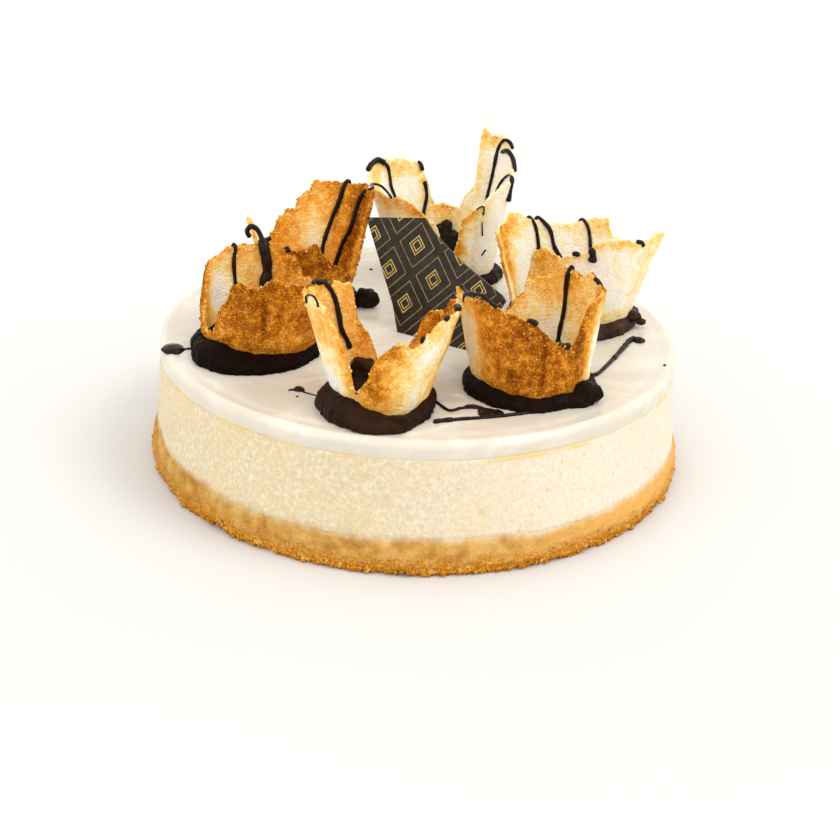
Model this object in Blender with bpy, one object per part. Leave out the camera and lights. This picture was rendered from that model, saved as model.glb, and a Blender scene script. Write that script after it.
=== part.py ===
"""Cheesecake with a biscuit base, a cream topping and six broken wafer baskets.

Every separate piece is one named object: the biscuit base, the baked filling, the cream
topping, six wafer baskets, the chocolate puddle that each basket stands in, and a thin
chocolate plaque. Units are metres, +Z is up, and the origin is the middle of the underside.
"""

import math
import bmesh
import bpy
from mathutils import Matrix, Vector, noise

MM = 0.001
GAP = 0.3 * MM
WELD = 0.003 * MM

# The round cake, from the underside up
BASE_RADIUS = 116.0 * MM
BASE_TOP_RADIUS = 113.2 * MM
BASE_HEIGHT = 15.4 * MM
BASE_CRAG = 3.0 * MM
BASE_STEPS = 108

FILLING_LOW_RADIUS = 112.6 * MM
FILLING_HIGH_RADIUS = 110.6 * MM
FILLING_TOP = 48.4 * MM
FILLING_STEPS = 72

CREAM_RADIUS = 110.8 * MM
CREAM_TOP = 56.0 * MM
CREAM_EDGE = 3.2 * MM
CREAM_STEPS = 64

# The wafer baskets are flared cups: an ellipse at the cream and a wider one at MOUTH_LEVEL
MOUTH_LEVEL = 40.0 * MM
WALL_FOOT = 1.2 * MM
WALL_THICK_LOW = 2.2 * MM
WALL_THICK_HIGH = 1.5 * MM
WALL_WAVE = 0.8 * MM
RIM_JAG = 0.9 * MM
WALL_ROWS = 3
WALL_STEP_DEGREES = 10.0

# Chocolate puddles: how thick they stand against the wafer
PUDDLE_STEPS = 24
GROOVE_STEPS = 30
GROOVE_SPARE = 0.15 * MM
PUDDLE_SKIRT = 5.0 * MM
DRIZZLE_SIDES = 6
DRIZZLE_RUNS = 4
DRIZZLE_OVER_RIM = 0.5 * MM
DRIZZLE_INSET = 1.6 * MM

WAFER = ("wafer", (0.86, 0.50, 0.17, 1.0), 0.55)
CHOCOLATE = ("chocolate", (0.020, 0.010, 0.007, 1.0), 0.35)

# Each basket: foot and mouth as (x, y, half width, half depth) in mm; rim as
# (angle in degrees from +X, height over the cream in mm); puddle spread as (angle, mm past
# the foot); drizzle as (angle at the rim, angle at its end, height of its end, radius in mm)
BASKETS = {
    "left": {
        "foot": (-67.0, -21.0, 25.0, 22.0),
        "mouth": (-66.0, -20.0, 27.0, 27.0),
        "rim": ((0, 28), (22, 25.5), (50, 23.5), (58, 28.5), (80, 33.5), (97, 34.5),
                (127, 34.5), (145, 34), (155, 31), (180, 28), (200, 22), (214, 17),
                (227, 16), (239, 24.5), (248, 30), (254, 36), (265, 34), (278, 34.5),
                (284, 37), (299, 33), (320, 33), (345, 30.5)),
        "spread": ((0, 2.5), (90, 3), (162, 2.5), (191, 3), (204, 4), (225, 10), (243, 13),
                   (259, 13), (284, 10), (307, 7), (344, 3)),
        "fill": 4.0,
        "drizzle": ((119, 116, 16, 1.0), (91, 95, 12, 1.9)),
    },
    "back_left": {
        "foot": (-47.0, 35.0, 18.0, 17.0),
        "mouth": (-51.0, 37.0, 29.0, 25.0),
        "rim": ((5, 14), (15, 26), (22, 40), (27, 46), (36, 48), (54, 47), (70, 46.5),
                (88, 45.5), (92, 41), (101, 39), (106, 34), (123, 31), (138, 24.5),
                (152, 22), (165, 26), (174, 33), (182, 36), (191, 35), (200, 28),
                (215, 25), (235, 27), (250, 30), (266, 29), (281, 32), (288, 26),
                (312, 20), (335, 13), (350, 11.5)),
        "spread": ((0, 6), (30, 3), (90, 3), (180, 3), (250, 3.5), (310, 6), (335, 9)),
        "fill": 4.0,
        "drizzle": ((57, 83, 15, 0.9), (38, 55, 15, 0.9)),
    },
    "back": {
        "foot": (10.5, 72.0, 22.5, 19.0),
        "mouth": (8.0, 74.0, 32.0, 25.0),
        "rim": ((5, 52), (18, 55), (27, 59), (36, 63), (52, 61), (60, 62), (63, 46),
                (66, 37), (70, 30), (76, 23), (87, 26), (98, 25), (102, 33), (105, 43),
                (111, 45.5), (126, 48.5), (149, 49), (159, 47.5), (177, 45), (192, 41.5),
                (210, 40), (228, 40.5), (237, 42), (249, 38), (256, 34), (264, 29),
                (269, 14), (281, 12), (286, 22), (289, 32), (300, 39), (311, 42),
                (330, 44), (345, 46)),
        "spread": ((0, 5), (90, 3), (180, 3), (270, 4), (330, 5)),
        "fill": 6.0,
        "drizzle": ((155, 147, 34, 0.9), (106, 108, 25, 0.9), (26, 44, 30, 1.0),
                    (350, 351, 37, 0.9)),
    },
    "back_right": {
        "foot": (67.0, 24.0, 25.0, 22.0),
        "mouth": (68.5, 27.0, 37.0, 29.0),
        "rim": ((5, 36), (20, 28), (40, 26), (58, 30), (66, 37), (78, 36), (88, 33.5),
                (101, 33), (116, 35.5), (126, 36.5), (135, 39.5), (147, 41), (160, 33),
                (169, 30), (178, 35), (183, 22), (190, 10), (205, 7), (222, 9),
                (231, 25), (240, 38), (246, 40), (254, 36), (264, 38), (283, 45),
                (298, 44), (309, 40.5), (323, 44), (335, 42), (350, 41)),
        "spread": ((14, 6), (90, 3), (180, 3), (240, 5), (285, 8), (312, 5.5), (350, 4.5)),
        "fill": 4.5,
        "drizzle": ((124, 112, 22, 0.9), (112, 99, 20, 0.9), (84, 83, 18, 0.9)),
    },
    "front_right": {
        "foot": (46.5, -53.0, 22.5, 21.0),
        "mouth": (44.0, -53.0, 28.5, 25.0),
        "rim": ((5, 42), (16, 41), (27, 44), (39, 42), (59, 42), (73, 39.5), (88, 37),
                (96, 31), (104, 25), (120, 20), (150, 18), (178, 28), (194, 40),
                (204, 44), (212, 41.5), (233, 43.5), (244, 40.5), (255, 39), (266, 37),
                (279, 31.5), (288, 27), (300, 24), (311, 23.5), (318, 31), (328, 41),
                (345, 42)),
        "spread": ((24, 3), (90, 2.5), (157, 5), (196, 6), (235, 7), (267, 6.5),
                   (299, 4), (317, 7), (350, 5)),
        "fill": 4.0,
        "drizzle": ((55, 66, 12, 1.0),),
    },
    "front": {
        "foot": (-14.0, -76.0, 17.5, 17.5),
        "mouth": (-13.0, -74.0, 30.0, 24.0),
        "rim": ((0, 43), (15, 40), (25, 38.5), (39, 37), (49, 34), (60, 31), (73, 22.5),
                (85, 12), (96, 8), (103, 17), (109, 23), (116, 29), (119, 36), (123, 42),
                (141, 42.5), (163, 43.5), (190, 44), (210, 44), (221, 42), (228, 36),
                (237, 24), (241, 13), (246, 12), (258, 21), (264, 30), (273, 30.5),
                (281, 34), (287, 32.5), (294, 36), (305, 39), (319, 42), (331, 44.5),
                (345, 44)),
        "spread": ((31, 6), (90, 4), (147, 6), (196, 8), (216, 9.5), (244, 11), (268, 12),
                   (285, 12), (309, 7), (348, 4)),
        "fill": 6.5,
        "drizzle": ((140, 118, 16, 1.1),),
    },
}

# Lumps on two puddles: (x, y, radius, height) in mm
PUDDLE_LUMPS = {
    "back_left": ((-23.5, 27.0, 5.0, 8.0),),
    "front_right": ((67.5, -66.0, 6.0, 8.0),),
}

# Chocolate let fall on the cream: drops (x, y, radius, height) and lines of points, in mm
DROPS = ((-101.6, -30.6, 4.9, 1.9), (-46.7, -66.5, 2.0, 1.3), (28.0, -82.0, 4.0, 1.5),
         (95.0, -1.4, 2.6, 1.5))
DRIPS = (
    ((-50.9, -67.7), (-46.7, -66.5), (-42.3, -70.5)),
    ((6.9, -92.4), (22.7, -89.2), (38.0, -84.2)),
    ((11.5, -77.5), (14.0, -82.4), (22.5, -77.8), (28.0, -82.0)),
    ((75.0, -38.5), (82.0, -24.4), (86.7, -13.1), (90.8, -2.4), (95.0, -1.4)),
)
DRIP_RADIUS = 0.9 * MM

# The plaque leans back on a line across the cream; its outline is (along, up) in mm
PLAQUE_FOOT_LEFT = (-8.0, -1.8)
PLAQUE_FOOT_RIGHT = (21.1, -18.4)
PLAQUE_LEAN_DEGREES = 20.0
PLAQUE_THICK = 1.9 * MM
PLAQUE_SUNK = 3.0
PLAQUE_OUTLINE = ((-27.4, 44.8), (-6.0, 11.0), (-1.0, 0.0), (0.0, -PLAQUE_SUNK),
                  (33.4, -PLAQUE_SUNK), (33.9, 0.0), (41.0, 13.0), (46.0, 23.6),
                  (43.5, 25.8), (22.1, 35.4), (6.5, 44.7), (0.7, 50.0))


def clear_scene():
    """Empty the file, so that the script can be run again."""
    for thing in list(bpy.data.objects):
        bpy.data.objects.remove(thing, do_unlink=True)


def make_material(name, colour, roughness):
    """One Principled material."""
    material = bpy.data.materials.new(name)
    material.use_nodes = True
    shader = material.node_tree.nodes["Principled BSDF"]
    shader.inputs["Base Color"].default_value = colour
    shader.inputs["Roughness"].default_value = roughness
    shader.inputs["Metallic"].default_value = 0.0
    return material


def add_object(name, mesh_maker, material=None):
    """Turn a bmesh into a linked object with its faces pointing out."""
    bmesh.ops.recalc_face_normals(mesh_maker, faces=mesh_maker.faces)
    mesh = bpy.data.meshes.new(name)
    mesh_maker.to_mesh(mesh)
    mesh_maker.free()
    thing = bpy.data.objects.new(name, mesh)
    bpy.context.scene.collection.objects.link(thing)
    if material is not None:
        mesh.materials.append(material)
    return thing


def turned_points(degrees, table, scale=1.0):
    """Value of a table of (degrees, value) that closes on itself, at any angle."""
    angle = degrees % 360.0
    points = sorted(table)
    points = [(points[-1][0] - 360.0, points[-1][1])] + points
    points.append((points[1][0] + 360.0, points[1][1]))
    for (low, before), (high, after) in zip(points, points[1:]):
        if low <= angle <= high:
            return scale * (before + (after - before) * (angle - low) / (high - low))
    raise ValueError(f"no stretch of the table holds {degrees} degrees")


def rings_to_mesh(rings, closed_ends=True):
    """Join rings of points, all of one length, into a skin with a fan at each end."""
    skin = bmesh.new()
    loops = [[skin.verts.new(point) for point in ring] for ring in rings]
    count = len(loops[0])
    for lower, upper in zip(loops, loops[1:]):
        for i in range(count):
            j = (i + 1) % count
            skin.faces.new((lower[i], lower[j], upper[j], upper[i]))
    if closed_ends:
        for loop in (loops[0], loops[-1]):
            middle = skin.verts.new(sum((vert.co for vert in loop), Vector()) / count)
            for i in range(count):
                skin.faces.new((loop[i], loop[(i + 1) % count], middle))
    return skin


def drop_scraps(skin):
    """Delete every loose body of a mesh but the one with the most corners."""
    left = set(skin.verts)
    bodies = []
    while left:
        body = set()
        ahead = [left.pop()]
        while ahead:
            vert = ahead.pop()
            body.add(vert)
            for edge in vert.link_edges:
                other = edge.other_vert(vert)
                if other in left:
                    left.remove(other)
                    ahead.append(other)
        bodies.append(body)
    bodies.sort(key=len)
    scraps = [vert for body in bodies[:-1] for vert in body]
    bmesh.ops.delete(skin, geom=scraps, context="VERTS")


def clean(mesh):
    """Weld a mesh, drop its scraps, and make sure that every edge has two faces."""
    skin = bmesh.new()
    skin.from_mesh(mesh)
    bmesh.ops.remove_doubles(skin, verts=skin.verts, dist=WELD)
    bmesh.ops.dissolve_degenerate(skin, edges=skin.edges, dist=WELD)
    drop_scraps(skin)
    skin.to_mesh(mesh)
    sound = bool(skin.faces) and all(edge.is_manifold for edge in skin.edges)
    skin.free()
    if not sound:
        raise ValueError(f"{mesh.name} isn't closed after its Boolean")


def combine(target, others, operation, name):
    """Boolean of a collection of objects on target, applied; the others are removed."""
    group = bpy.data.collections.new(name)
    for other in others:
        group.objects.link(other)
        other.hide_render = True
        other.display_type = "WIRE"
    step = target.modifiers.new(name, "BOOLEAN")
    step.operation = operation
    step.operand_type = "COLLECTION"
    step.collection = group
    bpy.context.view_layer.update()
    evaluated = target.evaluated_get(bpy.context.evaluated_depsgraph_get())
    result = bpy.data.meshes.new_from_object(evaluated)
    clean(result)
    target.modifiers.remove(step)
    old_mesh = target.data
    target.data = result
    bpy.data.meshes.remove(old_mesh)
    for other in others:
        bpy.data.objects.remove(other, do_unlink=True)
    bpy.data.collections.remove(group)


def circle(radius_at, height, steps):
    """Ring of points whose radius is a function of the angle in degrees."""
    ring = []
    for i in range(steps):
        turn = 2.0 * math.pi * i / steps
        radius = radius_at(math.degrees(turn))
        ring.append(Vector((radius * math.cos(turn), radius * math.sin(turn), height)))
    return ring


def biscuit_crag(degrees, height):
    """How far the crumbly side falls back; nothing on the four axes, so the box is round."""
    turn = math.radians(degrees)
    place = Vector((6.0 * math.cos(turn), 6.0 * math.sin(turn), height / (6.0 * MM)))
    coarse = 0.5 + 0.5 * noise.noise(place)
    fine = 0.5 + 0.5 * noise.noise(3.1 * place)
    axes = abs(math.sin(2.0 * turn)) ** 0.4
    return BASE_CRAG * axes * (0.6 * coarse + 0.4 * fine)


def biscuit_base():
    """Pressed crumb layer: craggy at the foot, nearly true where it meets the filling."""
    levels = ((0.0, 2.6 * MM, 0.9), (1.6 * MM, 0.4 * MM, 1.0), (5.0 * MM, 0.0, 1.0),
              (9.5 * MM, 1.0 * MM, 0.55), (BASE_HEIGHT, BASE_RADIUS - BASE_TOP_RADIUS, 0.0))
    rings = []
    for height, inset, roughness in levels:
        def radius_at(degrees, height=height, inset=inset, roughness=roughness):
            return BASE_RADIUS - inset - roughness * biscuit_crag(degrees, height)
        rings.append(circle(radius_at, height, BASE_STEPS))
    material = make_material("biscuit", (0.56, 0.29, 0.07, 1.0), 0.9)
    return add_object("biscuit_base", rings_to_mesh(rings), material)


def cheese_filling():
    """Baked filling: a slightly tapered, slightly wavy drum."""
    low = BASE_HEIGHT + GAP
    rings = []
    for part in (0.0, 0.5, 1.0):
        height = low + (FILLING_TOP - low) * part
        plain = FILLING_LOW_RADIUS + (FILLING_HIGH_RADIUS - FILLING_LOW_RADIUS) * part

        def radius_at(degrees, height=height, plain=plain):
            turn = math.radians(degrees)
            place = Vector((2.0 * math.cos(turn), 2.0 * math.sin(turn), height / (40 * MM)))
            return plain + 0.5 * MM * noise.noise(place)
        rings.append(circle(radius_at, height, FILLING_STEPS))
    material = make_material("cheese_filling", (0.93, 0.82, 0.60, 1.0), 0.6)
    return add_object("cheese_filling", rings_to_mesh(rings), material)


def drop(x, y, radius, height, level, name):
    """Low dome of chocolate, its foot sunk a little into what it lies on."""
    rings = []
    for part, rise in ((1.0, -0.8 * MM), (1.0, 0.0), (0.86, 0.6 * height), (0.5, 0.93 * height)):
        rings.append([Vector((x + radius * part * math.cos(turn),
                              y + radius * part * math.sin(turn), level + rise))
                      for turn in (2.0 * math.pi * i / 10 for i in range(10))])
    return add_object(name, rings_to_mesh(rings))


def tube(points, radius, sides, name):
    """Thin tube of chocolate through the points, tapered at both ends."""
    rings = []
    last = len(points) - 1
    for i, point in enumerate(points):
        ahead = (points[min(i + 1, last)] - points[max(i - 1, 0)]).normalized()
        across = ahead.cross(Vector((0.31, 0.17, 0.93))).normalized()
        over = across.cross(ahead)
        size = radius * (0.6 if i in (0, last) else 1.0)
        rings.append([point + size * (across * math.cos(turn) + over * math.sin(turn))
                      for turn in (2.0 * math.pi * k / sides for k in range(sides))])
    return add_object(name, rings_to_mesh(rings))


def plaque_frame():
    """Matrix whose X runs along the plaque's foot, Y up its face and Z out of its front."""
    left = Vector((PLAQUE_FOOT_LEFT[0] * MM, PLAQUE_FOOT_LEFT[1] * MM, CREAM_TOP))
    right = Vector((PLAQUE_FOOT_RIGHT[0] * MM, PLAQUE_FOOT_RIGHT[1] * MM, CREAM_TOP))
    along = (right - left).normalized()
    flat_normal = along.cross(Vector((0.0, 0.0, 1.0)))
    lean = math.radians(PLAQUE_LEAN_DEGREES)
    front = (flat_normal * math.cos(lean) + Vector((0.0, 0.0, 1.0)) * math.sin(lean))
    up = front.cross(along)
    turned = Matrix((along, up, front)).transposed().to_4x4()
    return Matrix.Translation(left) @ turned


def plaque_solid(name, grow, material=None):
    """The plaque, or with grow the slot that it stands in."""
    place = plaque_frame()
    middle_x = sum(x for x, _ in PLAQUE_OUTLINE) / len(PLAQUE_OUTLINE) * MM
    middle_y = sum(y for _, y in PLAQUE_OUTLINE) / len(PLAQUE_OUTLINE) * MM
    rings = []
    for side in (-1.0, 1.0):
        ring = []
        for x, y in PLAQUE_OUTLINE:
            out = Vector((x * MM - middle_x, y * MM - middle_y, 0.0)).normalized()
            spot = Vector((x * MM, y * MM, side * (0.5 * PLAQUE_THICK + grow)))
            ring.append(place @ (spot + 1.6 * grow * out))
        rings.append(ring)
    return add_object(name, rings_to_mesh(rings), material)


def cream_topping():
    """White topping with a rounded shoulder, the fallen chocolate and the plaque's slot."""
    low = FILLING_TOP + GAP
    rings = [circle(lambda _: CREAM_RADIUS - 0.2 * MM, low, CREAM_STEPS)]
    for degrees in (0, 30, 60, 90):
        turn = math.radians(degrees)
        radius = CREAM_RADIUS - CREAM_EDGE * (1.0 - math.cos(turn))
        height = CREAM_TOP - CREAM_EDGE * (1.0 - math.sin(turn))
        rings.append(circle(lambda _, radius=radius: radius, height, CREAM_STEPS))
    material = make_material("cream_topping", (0.93, 0.90, 0.84, 1.0), 0.35)
    cream = add_object("cream_topping", rings_to_mesh(rings), material)

    fallen = [drop(x * MM, y * MM, radius * MM, height * MM, CREAM_TOP, f"drop_{i}")
              for i, (x, y, radius, height) in enumerate(DROPS)]
    for i, line in enumerate(DRIPS):
        points = [Vector((x * MM, y * MM, CREAM_TOP + 0.3 * MM)) for x, y in line]
        fallen.append(tube(points, DRIP_RADIUS, DRIZZLE_SIDES, f"drip_{i}"))
    combine(cream, fallen, "UNION", "fallen_chocolate")
    combine(cream, [plaque_solid("plaque_slot", GAP)], "DIFFERENCE", "slot_for_plaque")
    return cream


def wall_point(basket, degrees, height, inset=0.0):
    """Point of a basket's outer face, or inset behind it, at a height over the cream."""
    part = height / MOUTH_LEVEL
    x, y, half_width, half_depth = [
        MM * (low + (high - low) * part)
        for low, high in zip(basket["foot"], basket["mouth"])]
    turn = math.radians(degrees)
    phase = basket["foot"][0]
    wave = WALL_WAVE * max(part, 0.0) * math.sin(3.0 * turn + phase)
    return Vector((x + (half_width + wave - inset) * math.cos(turn),
                   y + (half_depth + wave - inset) * math.sin(turn),
                   CREAM_TOP + height))


def rim_height(basket, degrees):
    """Height of the broken rim over the cream, with its small jags."""
    turn = math.radians(degrees)
    place = Vector((9.0 * math.cos(turn), 9.0 * math.sin(turn), basket["foot"][0]))
    return turned_points(degrees, basket["rim"], MM) + RIM_JAG * noise.noise(place)


def wall_angles(basket):
    """Angles of the wall's columns: each break in the rim, and steps between them."""
    breaks = sorted(angle for angle, _ in basket["rim"])
    angles = []
    for low, high in zip(breaks, breaks[1:] + [breaks[0] + 360.0]):
        steps = max(1, round((high - low) / WALL_STEP_DEGREES))
        angles += [low + (high - low) * i / steps for i in range(steps)]
    return angles


def wall_solid(basket, name, material=None):
    """Thin wafer wall round its own hollow, open above and below."""
    angles = wall_angles(basket)
    rings = []
    for row in range(WALL_ROWS + 1):
        part = row / WALL_ROWS
        rings.append([wall_point(basket, angle,
                                 WALL_FOOT + part * (rim_height(basket, angle) - WALL_FOOT))
                      for angle in angles])
    for row in range(WALL_ROWS, -1, -1):
        part = row / WALL_ROWS
        thick = WALL_THICK_LOW + (WALL_THICK_HIGH - WALL_THICK_LOW) * part
        rings.append([wall_point(basket, angle,
                                 WALL_FOOT + part * (rim_height(basket, angle) - WALL_FOOT),
                                 thick)
                      for angle in angles])
    skin = rings_to_mesh(rings + [rings[0]], closed_ends=False)
    bmesh.ops.remove_doubles(skin, verts=skin.verts, dist=0.001 * MM)
    return add_object(name, skin, material)


def wall_groove(basket, name, top):
    """Room for the foot of the wall in its puddle, with the gap all round."""
    angles = [360.0 * i / GROOVE_STEPS for i in range(GROOVE_STEPS)]
    outer = -GAP - GROOVE_SPARE
    inner = WALL_THICK_LOW + GAP + GROOVE_SPARE
    low = WALL_FOOT - GAP
    rings = []
    for height, inset in ((low, outer), (top, outer), (top, inner), (low, inner)):
        rings.append([wall_point(basket, angle, height, inset) for angle in angles])
    skin = rings_to_mesh(rings + [rings[0]], closed_ends=False)
    bmesh.ops.remove_doubles(skin, verts=skin.verts, dist=0.001 * MM)
    return add_object(name, skin)


def drizzle_on_wall(basket, start, end, end_height, radius, name):
    """Line of chocolate from just over the rim down the inner face."""
    top = rim_height(basket, start) + DRIZZLE_OVER_RIM
    points = []
    for i in range(DRIZZLE_RUNS + 1):
        part = i / DRIZZLE_RUNS
        height = top - part * (top - end_height * MM)
        points.append(wall_point(basket, start + (end - start) * part, height,
                                 DRIZZLE_INSET))
    return tube(points, radius * MM, DRIZZLE_SIDES, name)


def wafer_basket(key, basket):
    """One broken wafer basket with the thick drizzle fused to it."""
    wall = wall_solid(basket, f"wafer_basket_{key}", make_material(f"{WAFER[0]}_{key}", *WAFER[1:]))
    lines = [drizzle_on_wall(basket, start, end, end_height, radius, f"drizzle_{key}_{i}")
             for i, (start, end, end_height, radius) in enumerate(basket["drizzle"])]
    combine(wall, lines, "UNION", f"drizzle_{key}")
    return wall


def puddle(key, basket):
    """Lumpy chocolate puddle, a skirt outside the wall and a fill inside it."""
    x, y, half_width, half_depth = [MM * value for value in basket["foot"]]
    fill = basket["fill"] * MM
    low = CREAM_TOP + GAP

    def ring(inside, outside, height):
        """Ring at a share of the foot, plus a share of the spread past it."""
        points = []
        for i in range(PUDDLE_STEPS):
            degrees = 360.0 * i / PUDDLE_STEPS
            turn = math.radians(degrees)
            place = Vector((3.0 * math.cos(turn), 3.0 * math.sin(turn), basket["foot"][0]))
            past = outside * (turned_points(degrees, basket["spread"], MM)
                              + 1.2 * MM * noise.noise(place))
            points.append(Vector((x + (half_width * inside + past) * math.cos(turn),
                                  y + (half_depth * inside + past) * math.sin(turn),
                                  low + height)))
        return points

    rings = [ring(1.0, 0.96, 0.0), ring(1.0, 1.0, 0.7 * MM),
             ring(1.0, 0.85, 0.62 * PUDDLE_SKIRT), ring(1.0, 0.3, PUDDLE_SKIRT),
             ring(0.86, 0.0, max(fill, PUDDLE_SKIRT)), ring(0.7, 0.0, fill)]
    solid = add_object(f"chocolate_puddle_{key}", rings_to_mesh(rings),
                       make_material(f"{CHOCOLATE[0]}_{key}", *CHOCOLATE[1:]))
    lumps = []
    for i, (lump_x, lump_y, radius, height) in enumerate(PUDDLE_LUMPS.get(key, ())):
        rings = []
        for part, rise in ((0.75, 0.0), (1.0, 0.25), (0.95, 0.6), (0.6, 0.93)):
            rings.append([Vector((lump_x * MM + radius * MM * part * math.cos(turn),
                                  lump_y * MM + radius * MM * part * math.sin(turn),
                                  low + rise * height * MM))
                          for turn in (2.0 * math.pi * k / 9 for k in range(9))])
        lumps.append(add_object(f"lump_{key}_{i}", rings_to_mesh(rings)))
    if lumps:
        combine(solid, lumps, "UNION", f"lumps_{key}")
    combine(solid, [wall_groove(basket, f"groove_{key}", 14.0 * MM)], "DIFFERENCE",
            f"groove_{key}")
    return solid


def main():
    """Build every piece."""
    clear_scene()
    biscuit_base()
    cheese_filling()
    cream_topping()
    for key, basket in BASKETS.items():
        wafer_basket(key, basket)
        puddle(key, basket)
    dark = make_material("plaque_chocolate", (0.045, 0.028, 0.022, 1.0), 0.4)
    plaque_solid("chocolate_plaque", 0.0, dark)


main()
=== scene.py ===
"""Cheesecake with a biscuit base, a cream topping, six broken wafer baskets and a plaque.

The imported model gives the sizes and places. Each piece here is a fine mesh with its own relief
and a procedural finish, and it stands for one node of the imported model.
"""

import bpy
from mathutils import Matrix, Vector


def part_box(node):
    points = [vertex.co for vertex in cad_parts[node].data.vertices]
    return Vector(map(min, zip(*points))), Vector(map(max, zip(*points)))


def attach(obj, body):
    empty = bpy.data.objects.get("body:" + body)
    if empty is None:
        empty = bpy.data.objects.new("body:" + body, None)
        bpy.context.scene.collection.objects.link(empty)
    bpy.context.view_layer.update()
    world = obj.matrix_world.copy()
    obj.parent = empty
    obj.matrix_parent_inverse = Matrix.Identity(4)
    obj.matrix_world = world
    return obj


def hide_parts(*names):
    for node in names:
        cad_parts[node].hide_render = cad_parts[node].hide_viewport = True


bl_info = {
    "name": "Cheesecake with wafer baskets",
    "version": (1, 0, 0),
    "blender": (4, 5, 0),
    "location": "View3D > Sidebar > Cheesecake",
    "description": "Builds a cheesecake with broken wafer baskets, drizzle and a plaque",
    "category": "Add Mesh",
}

import math

import bmesh
import bpy
import numpy as np
from bpy.props import FloatProperty, FloatVectorProperty, IntProperty, PointerProperty
from mathutils import Matrix, Vector, noise

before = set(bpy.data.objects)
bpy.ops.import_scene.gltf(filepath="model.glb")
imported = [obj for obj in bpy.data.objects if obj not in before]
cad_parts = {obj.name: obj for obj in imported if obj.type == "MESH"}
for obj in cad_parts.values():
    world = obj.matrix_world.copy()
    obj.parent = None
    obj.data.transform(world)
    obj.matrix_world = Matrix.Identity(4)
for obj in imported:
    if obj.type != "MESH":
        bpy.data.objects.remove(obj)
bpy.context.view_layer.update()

MM = 0.001
GAP = 0.3 * MM

# Sizes of the round cake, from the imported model
BASE_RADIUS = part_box("biscuit_base")[1].x
BASE_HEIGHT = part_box("biscuit_base")[1].z
FILLING_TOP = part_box("cheese_filling")[1].z
CREAM_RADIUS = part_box("cream_topping")[1].x
CREAM_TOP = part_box("chocolate_puddle_left")[0].z - GAP

# The crumbly side of the base, as in the solids: (height and inset in mm, share of the crag)
BASE_PROFILE = ((0.0, 2.6, 0.9), (1.6, 0.4, 1.0), (5.0, 0.0, 1.0), (9.5, 1.0, 0.55),
                (15.4, 2.8, 0.0))
BASE_CRAG = 3.0 * MM
FILLING_LOW_RADIUS = 112.6 * MM
FILLING_HIGH_RADIUS = 110.6 * MM

# Height from which the base's side runs in to meet the filling, and how far in from its edge
# the gaps under it reach
BASE_MEETS_FROM = 11.0 * MM
BASE_UNDER_WIDTH = 7.0 * MM

# Height of the base's broken lower edge over the floor: (angle from +X, mm)
HEM = ((15, 0.3), (28, 1.6), (40, 0.4), (58, 1.9), (66, 0.2), (84, 0.9), (97, 2.2), (108, 0.3),
       (124, 1.5), (140, 0.4), (158, 1.8), (172, 0.2), (201, 0.0), (215, 0.1), (222, 0.3),
       (226.5, 1.8), (229, 0.2), (240, 0.1), (251, 0.4), (253, 0.9), (255, 0.0), (258, 1.3),
       (261, 1.3), (263, 0.1), (265, 0.1), (267, 1.2), (268.3, 2.8), (270.5, 1.1), (272, 0.2),
       (277, 0.0), (288, 0.3), (292, 0.1), (294, 1.3), (297, 0.4), (306, 0.4), (311.5, 1.1),
       (316, 0.1), (340, 0.0))

# Heights between which the tan paste comes in over the filling, before its edge wanders
PASTE_TOP = 12.0 * MM
PASTE_FULL = 7.2 * MM

# Specks of the filling: (size of a cell in mm, share of cells with one, strength, shift)
SPECKS = ((1.1, 0.28, 0.65, 5.0), (1.9, 0.15, 0.75, 7.0), (3.3, 0.06, 0.8, 9.0))

# Tones that go with the main colours of the settings
SPECK_COLOUR = (0.74, 0.50, 0.12)
STREAK_COLOUR = (0.93, 0.90, 0.82)
SEAM_COLOUR = (0.82, 0.56, 0.16)
SMEAR_COLOUR = (0.84, 0.60, 0.20)
PASTE_TONES = ((0.40, 0.185, 0.040), (0.54, 0.285, 0.060), (0.66, 0.41, 0.14))
LIGHT_CRUMB = (0.88, 0.56, 0.14)
BARE_WAFER = (0.97, 0.92, 0.82)
CREAMY_WAFER = (0.97, 0.84, 0.56)

# Colours of the even light and of the lamps
DAYLIGHT = (1.0, 0.985, 0.96, 1.0)
LAMP_COLOUR = (1.0, 0.985, 0.95)

# The wafer baskets are flared cups: an ellipse at the cream and a wider one at MOUTH_LEVEL,
# and their walls start at WALL_FOOT over the cream
MOUTH_LEVEL = 40.0 * MM
WALL_FOOT = 1.2 * MM
WALL_WAVE = 0.8 * MM
RIM_JAG = 0.9 * MM

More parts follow.
